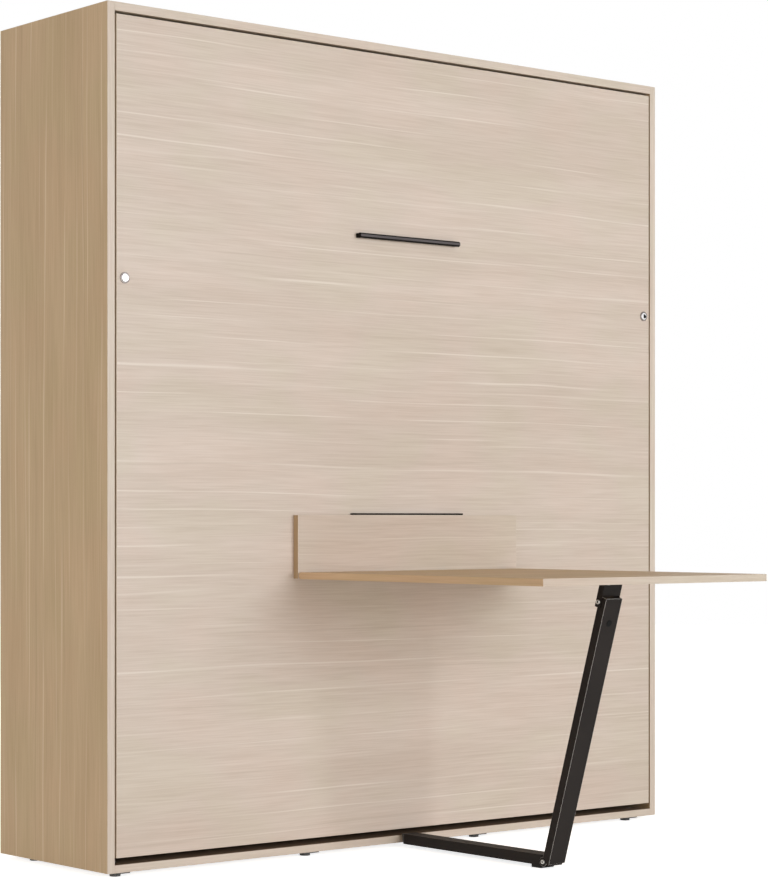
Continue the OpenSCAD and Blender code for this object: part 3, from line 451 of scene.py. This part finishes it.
def screw_heads(node, slot, way, crown, cross, seed, metal):
    """Heads on a node's places. way gives the direction that a head faces from its middle's place,
    crown and cross give the sizes of its top and of its cross as parts of its radius."""
    feet, turns = [], []
    for low, high in islands(node):
        middle = (low + high) / 2
        facing = way(middle)
        axis = "XYZ".index(facing[-1])
        middle[axis] = high[axis] if facing[0] == "-" else low[axis]
        feet.append(middle)
        turns.append(ALONG[facing])
    spare = (axis + 1) % 3
    radius, height = (high - low)[spare] / 2, (high - low)[axis]
    grown(screws, node + "_dressed", slot, [node], feet, turns=turns, edge=HEAD_EDGE,
          Foot_radius=radius, Crown_radius=radius * crown, Height=height, Cross=radius * cross,
          Recess=RECESS, Seed=seed, Metal=metal)


screw_heads("panel_cams", "zinc_steel", lambda m: "Z", 1.0, 1.15, 3, cast_zinc)
screw_heads("fitting_screws", "zinc_steel", lambda m: "X" if m.x < 0 else "-X", 1.0, 1.2, 5, zinc)

discs, size = recipe("levelling feet with a lobed rim", Radius="Float", Height="Float", Lobes="Int",
                     Depth="Float", Plastic="Material")
ring = add(discs, "GeometryNodeCurvePrimitiveCircle", {"Resolution": 96, "Radius": 1.0})
at = add(discs, "GeometryNodeInputPosition")
along = add(discs, "ShaderNodeSeparateXYZ", {"Vector": at}).outputs
angle = add(discs, "ShaderNodeMath", {0: along["Y"], 1: along["X"]}, operation="ARCTAN2")
phase = add(discs, "ShaderNodeMath", {0: angle, 1: size["Lobes"]}, operation="MULTIPLY")
wave = add(discs, "ShaderNodeMath", {0: phase}, operation="COSINE")
dip = add(discs, "ShaderNodeMath", {0: wave, 1: size["Depth"], 2: size["Depth"]},
          operation="MULTIPLY_ADD")
reach = add(discs, "ShaderNodeMath", {0: size["Radius"], 1: dip}, operation="SUBTRACT")
moved = add(discs, "ShaderNodeVectorMath", {0: at, "Scale": reach}, operation="SCALE")
ring = add(discs, "GeometryNodeSetPosition", {"Geometry": ring, "Position": moved})
flat = add(discs, "GeometryNodeFillCurve", {"Curve": ring}, mode="NGONS")
up = add(discs, "ShaderNodeCombineXYZ", {"Z": size["Height"]})
tall = add(discs, "GeometryNodeExtrudeMesh", {"Mesh": flat, "Offset": up, "Offset Scale": 1.0})
under = add(discs, "GeometryNodeFlipFaces", {"Mesh": flat})
whole = add(discs, "GeometryNodeJoinGeometry", {"Geometry": [tall, under]})
whole = add(discs, "GeometryNodeMergeByDistance", {"Geometry": whole, "Distance": 0.00001})
whole = add(discs, "GeometryNodeInstanceOnPoints", {"Points": size["Geometry"], "Instance": whole})
closed(discs, whole, size["Plastic"])

feet = islands("levelling_feet")
grown(discs, "levelling_feet_dressed", "black_plastic", ["levelling_feet"],
      [((a + b) / 2).to_2d().to_3d() + Vector((0, 0, a.z)) for a, b in feet], edge=0.0008,
      Radius=(feet[0][1].x - feet[0][0].x) / 2, Height=feet[0][1].z - feet[0][0].z, Lobes=16,
      Depth=0.0005, Plastic=black_plastic)
rounded("foot_plates", 0.0005, [black_plastic], "black_plastic")

# ---- plates, pins, strikers and stops on the cabinet's sides ----
# Stamped 4 mm steel plates, zinc plated, carry the turned pins of the bed and of the gas struts.
# The strikers are folded angles behind which the locks' cams turn. The stops are rubber blocks.

black_rubber = moulded("black_rubber", "#151413", 0.72, 0.0022, 0.0003, shine=0.2)
turned_pin = plated("turned_bright_steel", "#A7A9AC", 0.26, 0.02, "#B4B2AC")
for node in ("pivot_plates", "strut_brackets", "lock_strikers"):
    rounded(node, 0.0006, [zinc], "zinc_steel")
rounded("pivot_pins", 0.0008, [turned_pin], "zinc_steel")
rounded("door_stops", 0.0015, [black_rubber], "black_rubber")

# ---- front board of the bed ----
# One large 18 mm melamine board with its grain level, banded all round. It is screwed to the steel
# frame from behind, so its face is whole but for the two locks.

front_oak = oak("front_decor_level_oak", "X", "#D8CABE", "#D1C2B5", "#ECE3D9", "#BBA998",
                sway=0.012)
pale_band = oak("abs_edge_band_pale", "X", "#E2D6C8", "#DCD0C1", "#EBE1D5", "#CDBFAE", 37.0, 0.42)
rounded("front_panel", 0.0014, [front_oak, pale_band], "oak_board", faces("Y"), 1)

# ---- bed frame ----
# Rectangular steel tube, 60 by 30 by 2 mm, MIG welded at its corners and powder coated silver grey.
# The coat lies over the rippled weld beads and shows a fine orange peel.


def powder(name, base, rough, peel=0.0022, depth=0.00012, edge="#6F6D6B", shine=0.5):
    """Powder coat: even satin paint with an orange peel, a little coarser than the real 1 mm."""
    mat, tree, shader, coords = finish(name, base, rough, IOR=1.5, Specular_IOR_Level=shine)
    orange = add(tree, "ShaderNodeTexNoise", {"Vector": coords, "Scale": 1 / peel, "Detail": 1.0})
    cloud = add(tree, "ShaderNodeTexNoise", {"Vector": coords, "Scale": 6.0, "Detail": 3.0})
    wear = add(tree, "ShaderNodeValToRGB", {"Fac": cloud}, ((0.3, "#141312"), (0.72, edge)))
    colour = add(tree, "ShaderNodeMix", {"Factor": 0.14, "A": base, "B": wear}, data_type="RGBA")
    gloss = add(tree, "ShaderNodeMapRange", {"Value": cloud, "To Min": rough - 0.06,
                                             "To Max": rough + 0.08})
    bump = add(tree, "ShaderNodeBump", {"Height": orange, "Strength": 0.35, "Distance": depth})
    link(tree, shader, {"Base Color": colour, "Roughness": gloss, "Normal": bump})
    return mat


grey_coat = powder("silver_grey_powder_coat", "#8D8F92", 0.38, edge="#C4C5C6")
black_coat = powder("black_powder_coat", "#2A2725", 0.40)
for node in ("side_rail_left", "side_rail_right", "head_rail", "foot_rail", "centre_beam"):
    rounded(node, 0.0022, [grey_coat], "frame_steel", steps=3)

# ---- slats and their holders ----
# Twenty-eight bowed slats of seven birch plies, pressed hot and sanded, in two rows. Their ends sit
# in moulded caps on the side rails and in double caps on the middle tube.

PLIES = 7               # layers of veneer in a slat
SLAT_THICKNESS = 0.008  # metres
SLAT_CORNER = 0.0016    # rounding of a slat's long edges, metres


def veneer(name, face, late, dark_ply, light_ply):
    """Birch plywood: sanded veneer with a soft grain, and its glued plies on the edges."""
    mat, tree, shader, coords = finish(name, face, 0.52)
    grain = lines(tree, coords, "X", 0.0055, 0.22, 4.0)
    colour = add(tree, "ShaderNodeValToRGB", {"Fac": grain}, ((0.34, late), (0.60, face)))
    depth = add(tree, "ShaderNodeAttribute", attribute_name="ply").outputs["Fac"]
    cut_face = add(tree, "ShaderNodeAttribute", attribute_name="edge").outputs["Fac"]
    layer = add(tree, "ShaderNodeMath", {0: depth, 1: PLIES * pi}, operation="MULTIPLY")
    layer = add(tree, "ShaderNodeMath", {0: layer}, operation="SINE")
    layer = add(tree, "ShaderNodeMath", {0: layer}, operation="ABSOLUTE")
    plies = add(tree, "ShaderNodeValToRGB", {"Fac": layer}, ((0.10, dark_ply), (0.45, light_ply)))
    colour = add(tree, "ShaderNodeMix", {"Factor": cut_face, "A": colour, "B": plies},
                 data_type="RGBA")
    bump = add(tree, "ShaderNodeBump", {"Height": grain, "Strength": 0.12, "Distance": 0.0005})
    link(tree, shader, {"Base Color": colour, "Normal": bump})
    return mat


birch = veneer("birch_plywood_slat", "#DFC79C", "#D0B384", "#8E6A42", "#D9BF93")

slats, size = recipe("row of bowed slats", Count="Int", Pitch="Float", First="Vector",
                     Inner="Float", Outer="Float", Bow="Float", Width="Float", Thickness="Float",
                     Corner="Float", Wood="Material")
middle = add(slats, "ShaderNodeMath", {0: size["Inner"], 1: size["Outer"]}, operation="ADD")
middle = add(slats, "ShaderNodeMath", {0: middle, 1: 0.5}, operation="MULTIPLY")
# The curve rises half as high as its crest.
crest = add(slats, "ShaderNodeMath", {0: size["Bow"], 1: 2.0}, operation="MULTIPLY")
inner, outer = (add(slats, "ShaderNodeCombineXYZ", {"X": size[k]}) for k in ("Inner", "Outer"))
crest = add(slats, "ShaderNodeCombineXYZ", {"X": middle, "Y": crest})
bow = add(slats, "GeometryNodeCurveQuadraticBezier", {"Resolution": 24, "Start": inner,
                                                      "Middle": crest, "End": outer})
section = add(slats, "GeometryNodeCurvePrimitiveQuadrilateral", {"Width": size["Thickness"],
                                                                 "Height": size["Width"]})
section = add(slats, "GeometryNodeFilletCurve", {"Curve": section, "Count": 2,
                                                 "Radius": size["Corner"]}, mode="POLY")
at = add(slats, "GeometryNodeInputPosition")
spot = add(slats, "ShaderNodeSeparateXYZ", {"Vector": at}).outputs
share = add(slats, "ShaderNodeMath", {0: spot["X"], 1: size["Thickness"]}, operation="DIVIDE")
share = add(slats, "ShaderNodeMath", {0: share, 1: 0.5}, operation="ADD")
section = add(slats, "GeometryNodeStoreNamedAttribute",
              {"Geometry": section, "Name": "ply", "Value": share},
              data_type="FLOAT", domain="POINT")
slat = add(slats, "GeometryNodeCurveToMesh", {"Curve": bow, "Profile Curve": section,
                                              "Fill Caps": True})
normal = add(slats, "GeometryNodeInputNormal")
facing = add(slats, "ShaderNodeSeparateXYZ", {"Vector": normal}).outputs
across = add(slats, "ShaderNodeMath", {0: facing["Y"]}, operation="ABSOLUTE")
across = add(slats, "ShaderNodeMath", {0: across, 1: FACING}, operation="LESS_THAN")
slat = add(slats, "GeometryNodeStoreNamedAttribute",
           {"Geometry": slat, "Name": "edge", "Value": across}, data_type="FLOAT", domain="FACE")
step = add(slats, "ShaderNodeCombineXYZ", {"Z": size["Pitch"]})
row = add(slats, "GeometryNodeMeshLine", {"Count": size["Count"], "Start Location": size["First"],
                                          "Offset": step})
row = add(slats, "GeometryNodeInstanceOnPoints", {"Points": row, "Instance": slat})
closed(slats, row, size["Wood"])

for node in ("slats_left", "slats_right"):
    boards = islands(node)
    low, high = boards[0]
    inner, outer = sorted((low.x, high.x), key=abs)
    first = (0, low.y + SLAT_THICKNESS / 2, (low.z + high.z) / 2)
    grown(slats, node + "_dressed", "birch_ply", [node], Count=len(boards),
          Pitch=boards[1][0].z - low.z, First=first, Inner=inner, Outer=outer,
          Bow=high.y - low.y - SLAT_THICKNESS, Width=high.z - low.z,
          Thickness=SLAT_THICKNESS, Corner=SLAT_CORNER, Wood=birch)
rounded("slat_holders", 0.0008, [black_plastic], "black_plastic")

# ---- pivot arms and their bushes ----
# Arms are cut from 6 mm plate, welded to the side rails and powder coated black. Each has a flanged
# nylon bush for the cabinet's pin, and a turned stud for the gas strut.

for node in ("pivot_arm_left", "pivot_arm_right"):
    rounded(node, 0.0008, [black_coat], "black_steel")
rounded("pivot_bushes", 0.0005, [grey_plastic], "grey_plastic")

# ---- mattress hoop and weld beads ----
# A bent 12 mm bar is welded behind the lower rail, so that the mattress can't slide down. The
# frame's corners and the hoop's ends carry rippled MIG beads under the same coat.

BEAD = 0.0024        # radius of a weld bead on the frame, metres
HOOP_BEAD = 0.0020   # radius of the beads round the hoop's ends
RIPPLE = 0.0030      # distance from one ripple to the next
SUNK = 0.0012        # depth of a frame bead's middle in its tube, half of the bead's radius
SHORT = 0.0020       # distance of a frame bead's end from the corner of its tubes
HUG = 0.0004         # distance of a hoop bead's middle from the side of the bar
LIFT = 0.0006        # distance of a hoop bead's middle from the rear face of the rail
rounded("mattress_hoop", 0.0004, [grey_coat], "frame_steel")

beads, size = recipe("rippled weld beads", Radius="Float", Ripple="Float", Seed="Int",
                     Coat="Material")
seam = add(beads, "GeometryNodeMeshToCurve", {"Mesh": size["Geometry"]})
step = add(beads, "ShaderNodeMath", {0: size["Ripple"], 1: 0.25}, operation="MULTIPLY")
seam = add(beads, "GeometryNodeResampleCurve", {"Curve": seam, "Length": step}, mode="LENGTH")
count = add(beads, "GeometryNodeInputIndex")
# Four steps make a ripple.
beat = add(beads, "ShaderNodeMath", {0: count, 1: pi / 2}, operation="MULTIPLY")
beat = add(beads, "ShaderNodeMath", {0: beat}, operation="SINE")
chance = add(beads, "FunctionNodeRandomValue", {"Min": 0.82, "Max": 1.0, "Seed": size["Seed"]},
             data_type="FLOAT")
swell = add(beads, "ShaderNodeMath", {0: beat, 1: 0.10, 2: chance}, operation="MULTIPLY_ADD")
swell = add(beads, "ShaderNodeMath", {0: swell, 1: size["Radius"]}, operation="MULTIPLY")
ring = add(beads, "GeometryNodeCurvePrimitiveCircle", {"Resolution": 10, "Radius": 1.0})
bead = add(beads, "GeometryNodeCurveToMesh", {"Curve": seam, "Profile Curve": ring,
                                              "Scale": swell, "Fill Caps": True})
bead = add(beads, "GeometryNodeSetShadeSmooth", {"Geometry": bead, "Shade Smooth": True})
closed(beads, bead, size["Coat"])


def weld(name, body, seams, coat, radius, seed):
    """Weld beads along seams, each a list of points, as one piece on a body."""
    points, edges = [], []
    for seam in seams:
        first = len(points)
        points += seam
        edges += [(first + i, first + i + 1) for i in range(len(seam) - 1)]
    obj = shaped(beads, name, points, edges, Radius=radius, Ripple=RIPPLE, Seed=seed, Coat=coat)
    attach(obj, body)


rail_low, rail_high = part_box("side_rail_right")
beam_low, beam_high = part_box("centre_beam")
depth = rail_high[1] - SUNK
seams = []
for name in ("head_rail", "foot_rail"):
    low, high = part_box(name)
    for x in (rail_low[0], -rail_low[0]):
        seams.append([(x, depth, low[2] + SHORT), (x, depth, high[2] - SHORT)])
    z = low[2] if name == "head_rail" else high[2]
    seams.append([(beam_low[0] + SHORT, depth, z), (beam_high[0] - SHORT, depth, z)])
weld("frame_weld_beads", "bed", seams, grey_coat, BEAD, 1)
hoop_low, hoop_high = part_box("mattress_hoop")
bar = (hoop_high[2] - hoop_low[2]) / 2
reach = bar + HUG
rings = []
for x in (hoop_low[0] + bar, hoop_high[0] - bar):
    rings.append([(x + reach * cos(i * pi / 12), rail_high[1] + LIFT,
                   hoop_low[2] + bar + reach * sin(i * pi / 12)) for i in range(25)])
weld("hoop_weld_beads", "bed", rings, grey_coat, HOOP_BEAD, 2)

# ---- pull handle ----
# A low bow cast in zinc, with its front cut down to a narrow flat by two slopes, on two short
# posts. It is coated matt black, and the flat has a lighter grey coat: a painted highlight.

black_handle = powder("matt_black_handle_coat", "#0C0706", 0.50, 0.0016, 0.0001, "#1C1512", 0.08)
# A lighter grey copy of the coat for the faces that look straight forward: a painted highlight.
handle_flat_painted_highlight = powder("handle_coat_polished_by_hands", "#514A4B", 0.36, 0.0016, 0.0001,
                     "#6E6768", 0.35)
rounded("pull_handle", 0.0006, [black_handle, handle_flat_painted_highlight], "black_handle",
        lambda n: 1 if n.y < -0.99 else 0)

# ---- turning locks ----
# A nickel plated brass ring, greyer than the knob, sits in the front board with a slotted knob of
# satin chrome in it. Behind the board the knob turns a zinc plated cam.


def chromed(name, base, rough):
    """Plated metal: it reflects softly, with very faint buffing marks."""
    mat, tree, shader, coords = finish(name, base, rough, Metallic=1.0)
    buff = add(tree, "ShaderNodeTexNoise", {"Vector": coords, "Scale": 900.0, "Detail": 2.0})
    gloss = add(tree, "ShaderNodeMapRange", {"Value": buff, "To Min": rough - 0.03,
                                             "To Max": rough + 0.05})
    link(tree, shader, {"Roughness": gloss})
    return mat


chrome = chromed("bright_chrome_plating", "#D6D6D6", 0.14)
satin_chrome = chromed("satin_chrome_plating", "#E4E2E2", 0.36)
nickel = chromed("grey_nickel_plating", "#8C8480", 0.24)
rounded("lock_rings", 0.0014, [nickel], "bright_chrome", steps=3)
for side in ("left", "right"):
    rounded("lock_knob_" + side, 0.0008, [satin_chrome], "bright_chrome", steps=3)
    rounded("lock_cam_" + side, 0.0004, [zinc], "zinc_steel")

# ---- board behind the desk ----
# A 20 mm banded board stands up behind the desk, screwed to the front board from inside. A thin
# black aluminium strip lies along its top. Steel leaves in its lower edge carry the hinge pins.

desk_oak = oak("desk_board_decor_oak", "X", "#D5C6B8", "#CEBEAF", "#E2D6C8", "#B9A692", 41.0)
# The board's ends get a darker, browner copy of the decor: painted shade on faces that look
# sideways.
desk_end_painted_shade = oak("desk_side_band_oak", "Z", "#BFA586", "#B49A79", "#D0B899", "#9D8264", 71.0)
rounded("desk_board", 0.0014, [desk_oak, edge_level, desk_end_painted_shade], "oak_board", faces("Y", "X"), 1)
black_strip = powder("black_anodised_strip", "#0E0805", 0.5, 0.0016, 0.00008, "#201813", 0.08)
rounded("board_strip", 0.0006, [black_strip], "black_plastic")
rounded("desk_hinge_knuckles", 0.0004, [black_coat], "black_steel")
rounded("desk_hinge_pins", 0.0004, [turned_pin], "zinc_steel")

# ---- desk top ----
# An 18 mm melamine board with a rounded rear edge that turns about the hinge pins. Its grain runs
# across the desk, and its front edge is banded like the cabinet's.

# The desk's level faces get a deep brown copy of the decor: painted shade, as the low lamps light
# faces that look up only weakly.
desk_top_painted_shade_oak = oak("desk_top_decor_oak", "X", "#C5A77F", "#BC9D74", "#D2B792", "#A78560", 53.0, 0.5)
# Its front and rear edges get a darker copy of the cabinet's edge band: painted shade.
desk_edge_painted_shade = oak("desk_edge_band_oak", "X", "#C9BBAC", "#C3B3A3", "#D6C9BB", "#B5A491", 61.0, 0.42)
# Its flanks get a warmer, browner band: painted shade on faces that look sideways.
desk_flank_painted_shade = oak("desk_flank_band_oak", "Y", "#D6B897", "#CDAD8A", "#E2C8A8", "#B39574", 83.0)
rounded("desk_top", 0.0010, [desk_top_painted_shade_oak, desk_edge_painted_shade, desk_flank_painted_shade], "oak_board", faces("Z", "X"))

# ---- bracket under the desk ----
# Folded and welded from 2.5 mm steel, coated black, with four pan head screws in its plate. A zinc
# plated bolt with a hexagon socket in each of its round heads joins its cheeks to the leg.

dark_coat = powder("black_brown_powder_coat", "#211C1A", 0.50, edge="#3D3835", shine=0.10)
# A near-white coat for the leg's rounded edges: a painted highlight.
leg_edges_painted_highlight = powder("powder_coat_thin_on_the_edges", "#F4F1EE", 0.33, edge="#FBF9F6")
rounded("leg_bracket", 0.0007, [dark_coat], "black_steel")
screw_heads("bracket_screws", "zinc_steel", lambda m: "-Z", 0.7, 1.1, 8, zinc)

bolts, size = recipe("bolts with a socket head at each end", Head_radius="Float",
                     Crown_radius="Float", Height="Float", Socket="Float", Shank="Float",
                     Metal="Material")
head = add(bolts, "GeometryNodeMeshCone",
           {"Vertices": 32, "Side Segments": 2, "Radius Top": size["Crown radius"],
            "Radius Bottom": size["Head radius"], "Depth": size["Height"]})
hexagon = add(bolts, "GeometryNodeMeshCylinder", {"Vertices": 6, "Radius": size["Socket"],
                                                  "Depth": size["Height"]})
lift = add(bolts, "ShaderNodeCombineXYZ", {"Z": size["Height"]})
hexagon = add(bolts, "GeometryNodeTransform", {"Geometry": hexagon, "Translation": lift})
hexagon = add(bolts, "GeometryNodeStoreNamedAttribute",
              {"Geometry": hexagon, "Name": "socket", "Value": 1.0},
              data_type="FLOAT", domain="FACE")
pressed = add(bolts, "GeometryNodeMeshBoolean", {"Mesh 1": head, "Mesh 2": hexagon},
              operation="DIFFERENCE", solver="EXACT")
turn = add(bolts, "GeometryNodeInputNamedAttribute", {"Name": "turn"}, data_type="FLOAT_VECTOR")
heads = add(bolts, "GeometryNodeInstanceOnPoints", {"Points": size["Geometry"],
                                                    "Instance": pressed, "Rotation": turn})
shank = add(bolts, "GeometryNodeMeshToCurve", {"Mesh": size["Geometry"]})
ring = add(bolts, "GeometryNodeCurvePrimitiveCircle", {"Resolution": 24, "Radius": size["Shank"]})
shank = add(bolts, "GeometryNodeCurveToMesh", {"Curve": shank, "Profile Curve": ring,
                                               "Fill Caps": True})
whole = add(bolts, "GeometryNodeJoinGeometry", {"Geometry": [heads, shank]})
closed(bolts, whole, size["Metal"])

# The faces of each hexagon socket are painted near black: painted shade inside the sockets.
bolt_zinc = plated("zinc_plated_bolt", "#C2C2C1", 0.36, 0.010, "#C9C6BC", "socket")
BOLT_HEAD = 0.0035   # height of a bolt's head, metres
BOLT_STEP = 0.0020   # from the shank out to the head's rim, metres
BOLT_CROWN = 0.86    # radius of a head's top, as a part of its rim's
BOLT_SOCKET = 0.44   # radius of its socket, as a part of its rim's


def bolt(node):
    """A bolt along X between the two ends of its node's box."""
    low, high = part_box(node)
    radius = (high[2] - low[2]) / 2
    y, z = (low[1] + high[1]) / 2, (low[2] + high[2]) / 2
    ends = [(x, y, z) for x in (low[0] + BOLT_HEAD, high[0] - BOLT_HEAD)]
    grown(bolts, node + "_dressed", "zinc_steel", [node], ends, [(0, 1)],
          turns=[ALONG["-X"], ALONG["X"]], edge=0.0005, Head_radius=radius,
          Crown_radius=radius * BOLT_CROWN, Height=BOLT_HEAD,
          Socket=radius * BOLT_SOCKET, Shank=radius - BOLT_STEP, Metal=bolt_zinc)


bolt("leg_pivot_bolt")

# ---- desk leg ----
# A channel pressed from 2.5 mm sheet, open to the bed, 57 by 24 mm, coated black brown. Its rounded
# edges have a near-white coat: a painted highlight. A domed plastic plug closes the hole in its
# front.

rounded("desk_leg", 0.0018, [dark_coat, leg_edges_painted_highlight], "black_steel", rim=1)
black_plug = moulded("black_polypropylene_plug", "#060707", 0.6, shine=0.1)
rounded("leg_plug", 0.0008, [black_plug], "black_plastic", steps=3)
bolt("foot_pivot_bolt")

# ---- foot bar ----
# A 50 by 27 mm tube that stands on a ribbed rubber pad at its front, with a slanted plastic cap
# pushed into its rear end.

rounded("foot_bar", 0.0016, [dark_coat], "black_steel", steps=3)
rounded("foot_bar_cap", 0.0008, [black_plastic], "black_plastic")
rounded("foot_pad", 0.0012, [black_rubber], "black_rubber")

# ---- support leg of the bed ----
# One bent 18 mm tube on two welded lugs, coated black, with a rubber sleeve for each foot.

rounded("bed_leg_brackets", 0.0006, [black_coat], "black_steel")
rounded("bed_leg_bow", 0.0003, [black_coat], "black_steel")
rounded("bed_leg_feet", 0.0008, [black_rubber], "black_rubber")

# ---- gas struts ----
# Drawn steel tubes in glossy black paint, with ground and chromed rods. The eyes at both ends are
# turned and painted black.

gloss_black = powder("gloss_black_strut_paint", "#1B1A1A", 0.2, 0.004, 0.00004, "#3A3836")
for side in ("left", "right"):
    rounded("strut_tube_" + side, 0.0006, [gloss_black], "black_steel")
    rounded("strut_rod_" + side, 0.0003, [chrome], "bright_chrome")

# ---- screws that hold the front board ----
# Pan head screws through the frame's tubes into the front board, with pressed crosses.

screw_heads("panel_screws", "zinc_steel", lambda m: "Y", 0.72, 1.1, 9, zinc)

# ---- camera, floor and light ----
# The photograph's view: level, from the front left, with a long lens. The floor and the air behind
# are white. A large soft lamp stands low in front, and weaker ones at the left and behind. The air
# is dimmer above and a little warm, so that the shade under the desk is short and tan.

FOCAL = 2463.6                # focal length in pixels of the photograph
FRAME = (768, 878)            # the photograph's width and height in pixels
AXIS = (281.4, 519.05)        # where the camera looks straight ahead, in the same pixels
EYE = (-4.44841, -5.51710, 0.88790)  # where the camera stands, metres
HEADING = 38.6277             # degrees from straight at the front
SENSOR = 36                   # height of the camera's picture, millimetres
VIEW_DEPTH = 60               # how far the camera sees, metres
FLOOR_RADIUS = 14             # metres, so that the floor's rim lies outside every picture
FLOOR_DROP = 0.0005           # how far the floor lies under the feet, metres
FLOOR_GLOW = 0.78             # what the eye sees on the floor beside the light that falls on it
LOW_SKY, HIGH_SKY = 0.52, 0.23  # light from the air at the horizon and well above it
SKY_RISE = 0.7                # share of straight up from which the air is as dim as it gets

camera = bpy.data.objects.new("camera", bpy.data.cameras.new("camera"))
bpy.context.scene.collection.objects.link(camera)
camera.location = EYE
camera.rotation_euler = (pi / 2, 0, -radians(HEADING))
camera.data.sensor_width = SENSOR
camera.data.lens = FOCAL * SENSOR / FRAME[1]
camera.data.shift_x = (FRAME[0] / 2 - AXIS[0]) / FRAME[1]
camera.data.shift_y = (AXIS[1] - FRAME[1] / 2) / FRAME[1]
camera.data.clip_end = VIEW_DEPTH
bpy.context.scene.camera = camera
bpy.context.scene.view_settings.view_transform = "Standard"


def seen(tree):
    """1 for a ray that shows a surface to the eye: from the camera, or by gloss or glass."""
    path = add(tree, "ShaderNodeLightPath").outputs
    shown = add(tree, "ShaderNodeMath", {0: path["Is Camera Ray"], 1: path["Is Glossy Ray"]},
                operation="MAXIMUM")
    return add(tree, "ShaderNodeMath", {0: shown, 1: path["Is Transmission Ray"]},
               operation="MAXIMUM")


floor_mat, tree, shader, _ = finish("matt_white_floor", "#F2EFE8", 0.9)
glow = add(tree, "ShaderNodeMath", {0: seen(tree), 1: FLOOR_GLOW}, operation="MULTIPLY")
link(tree, shader, {"Emission Strength": glow, "Emission Color": "#FBFDFF"})
bm = bmesh.new()
bmesh.ops.create_circle(bm, cap_ends=True, segments=96, radius=FLOOR_RADIUS)
floor = bpy.data.objects.new("studio_floor", bpy.data.meshes.new("studio_floor"))
bm.to_mesh(floor.data)
bm.free()
floor.data.transform(Matrix.Translation((0, 0, -FLOOR_DROP)))
floor.data.materials.append(floor_mat)
bpy.context.scene.collection.objects.link(floor)

world = bpy.data.worlds.new("white studio")
bpy.context.scene.world = world
world.use_nodes = True
tree = world.node_tree
coords = add(tree, "ShaderNodeTexCoord").outputs["Generated"]
way = add(tree, "ShaderNodeSeparateXYZ", {"Vector": coords}).outputs
air = add(tree, "ShaderNodeMapRange", {"Value": way["Z"], "From Max": SKY_RISE,
                                       "To Min": LOW_SKY, "To Max": HIGH_SKY})
strength = add(tree, "ShaderNodeMapRange", {"Value": seen(tree), "To Min": air, "To Max": 1.0})
colour = add(tree, "ShaderNodeMix", {"Factor": seen(tree), "A": "#FFF6E6", "B": "#FFFFFF"},
             data_type="RGBA")
link(tree, tree.nodes["Background"], {"Color": colour, "Strength": strength})


def lamp(name, place, aim, wide, high, watts, colour="#FFFFFF"):
    """A soft rectangular lamp at a place, turned to a point."""
    data = bpy.data.lights.new(name, "AREA")
    data.shape, data.size, data.size_y = "RECTANGLE", wide, high
    data.energy, data.color = watts, linear(colour)[:3]
    obj = bpy.data.objects.new(name, data)
    obj.location = place
    obj.rotation_euler = (Vector(aim) - Vector(place)).to_track_quat("-Z", "Y").to_euler()
    bpy.context.scene.collection.objects.link(obj)


lamp("soft front lamp", (0.8, -7.0, 1.7), (0.1, -0.5, 1.1), 3.4, 2.5, 262, "#F5F9FF")
lamp("left fill lamp", (-6.5, -0.9, 1.5), (-0.9, -0.3, 1.1), 2.6, 2.4, 80, "#FFF6EC")
lamp("rear fill lamp", (0.4, 5.8, 2.6), (0.0, 0.0, 1.2), 2.6, 2.4, 100)
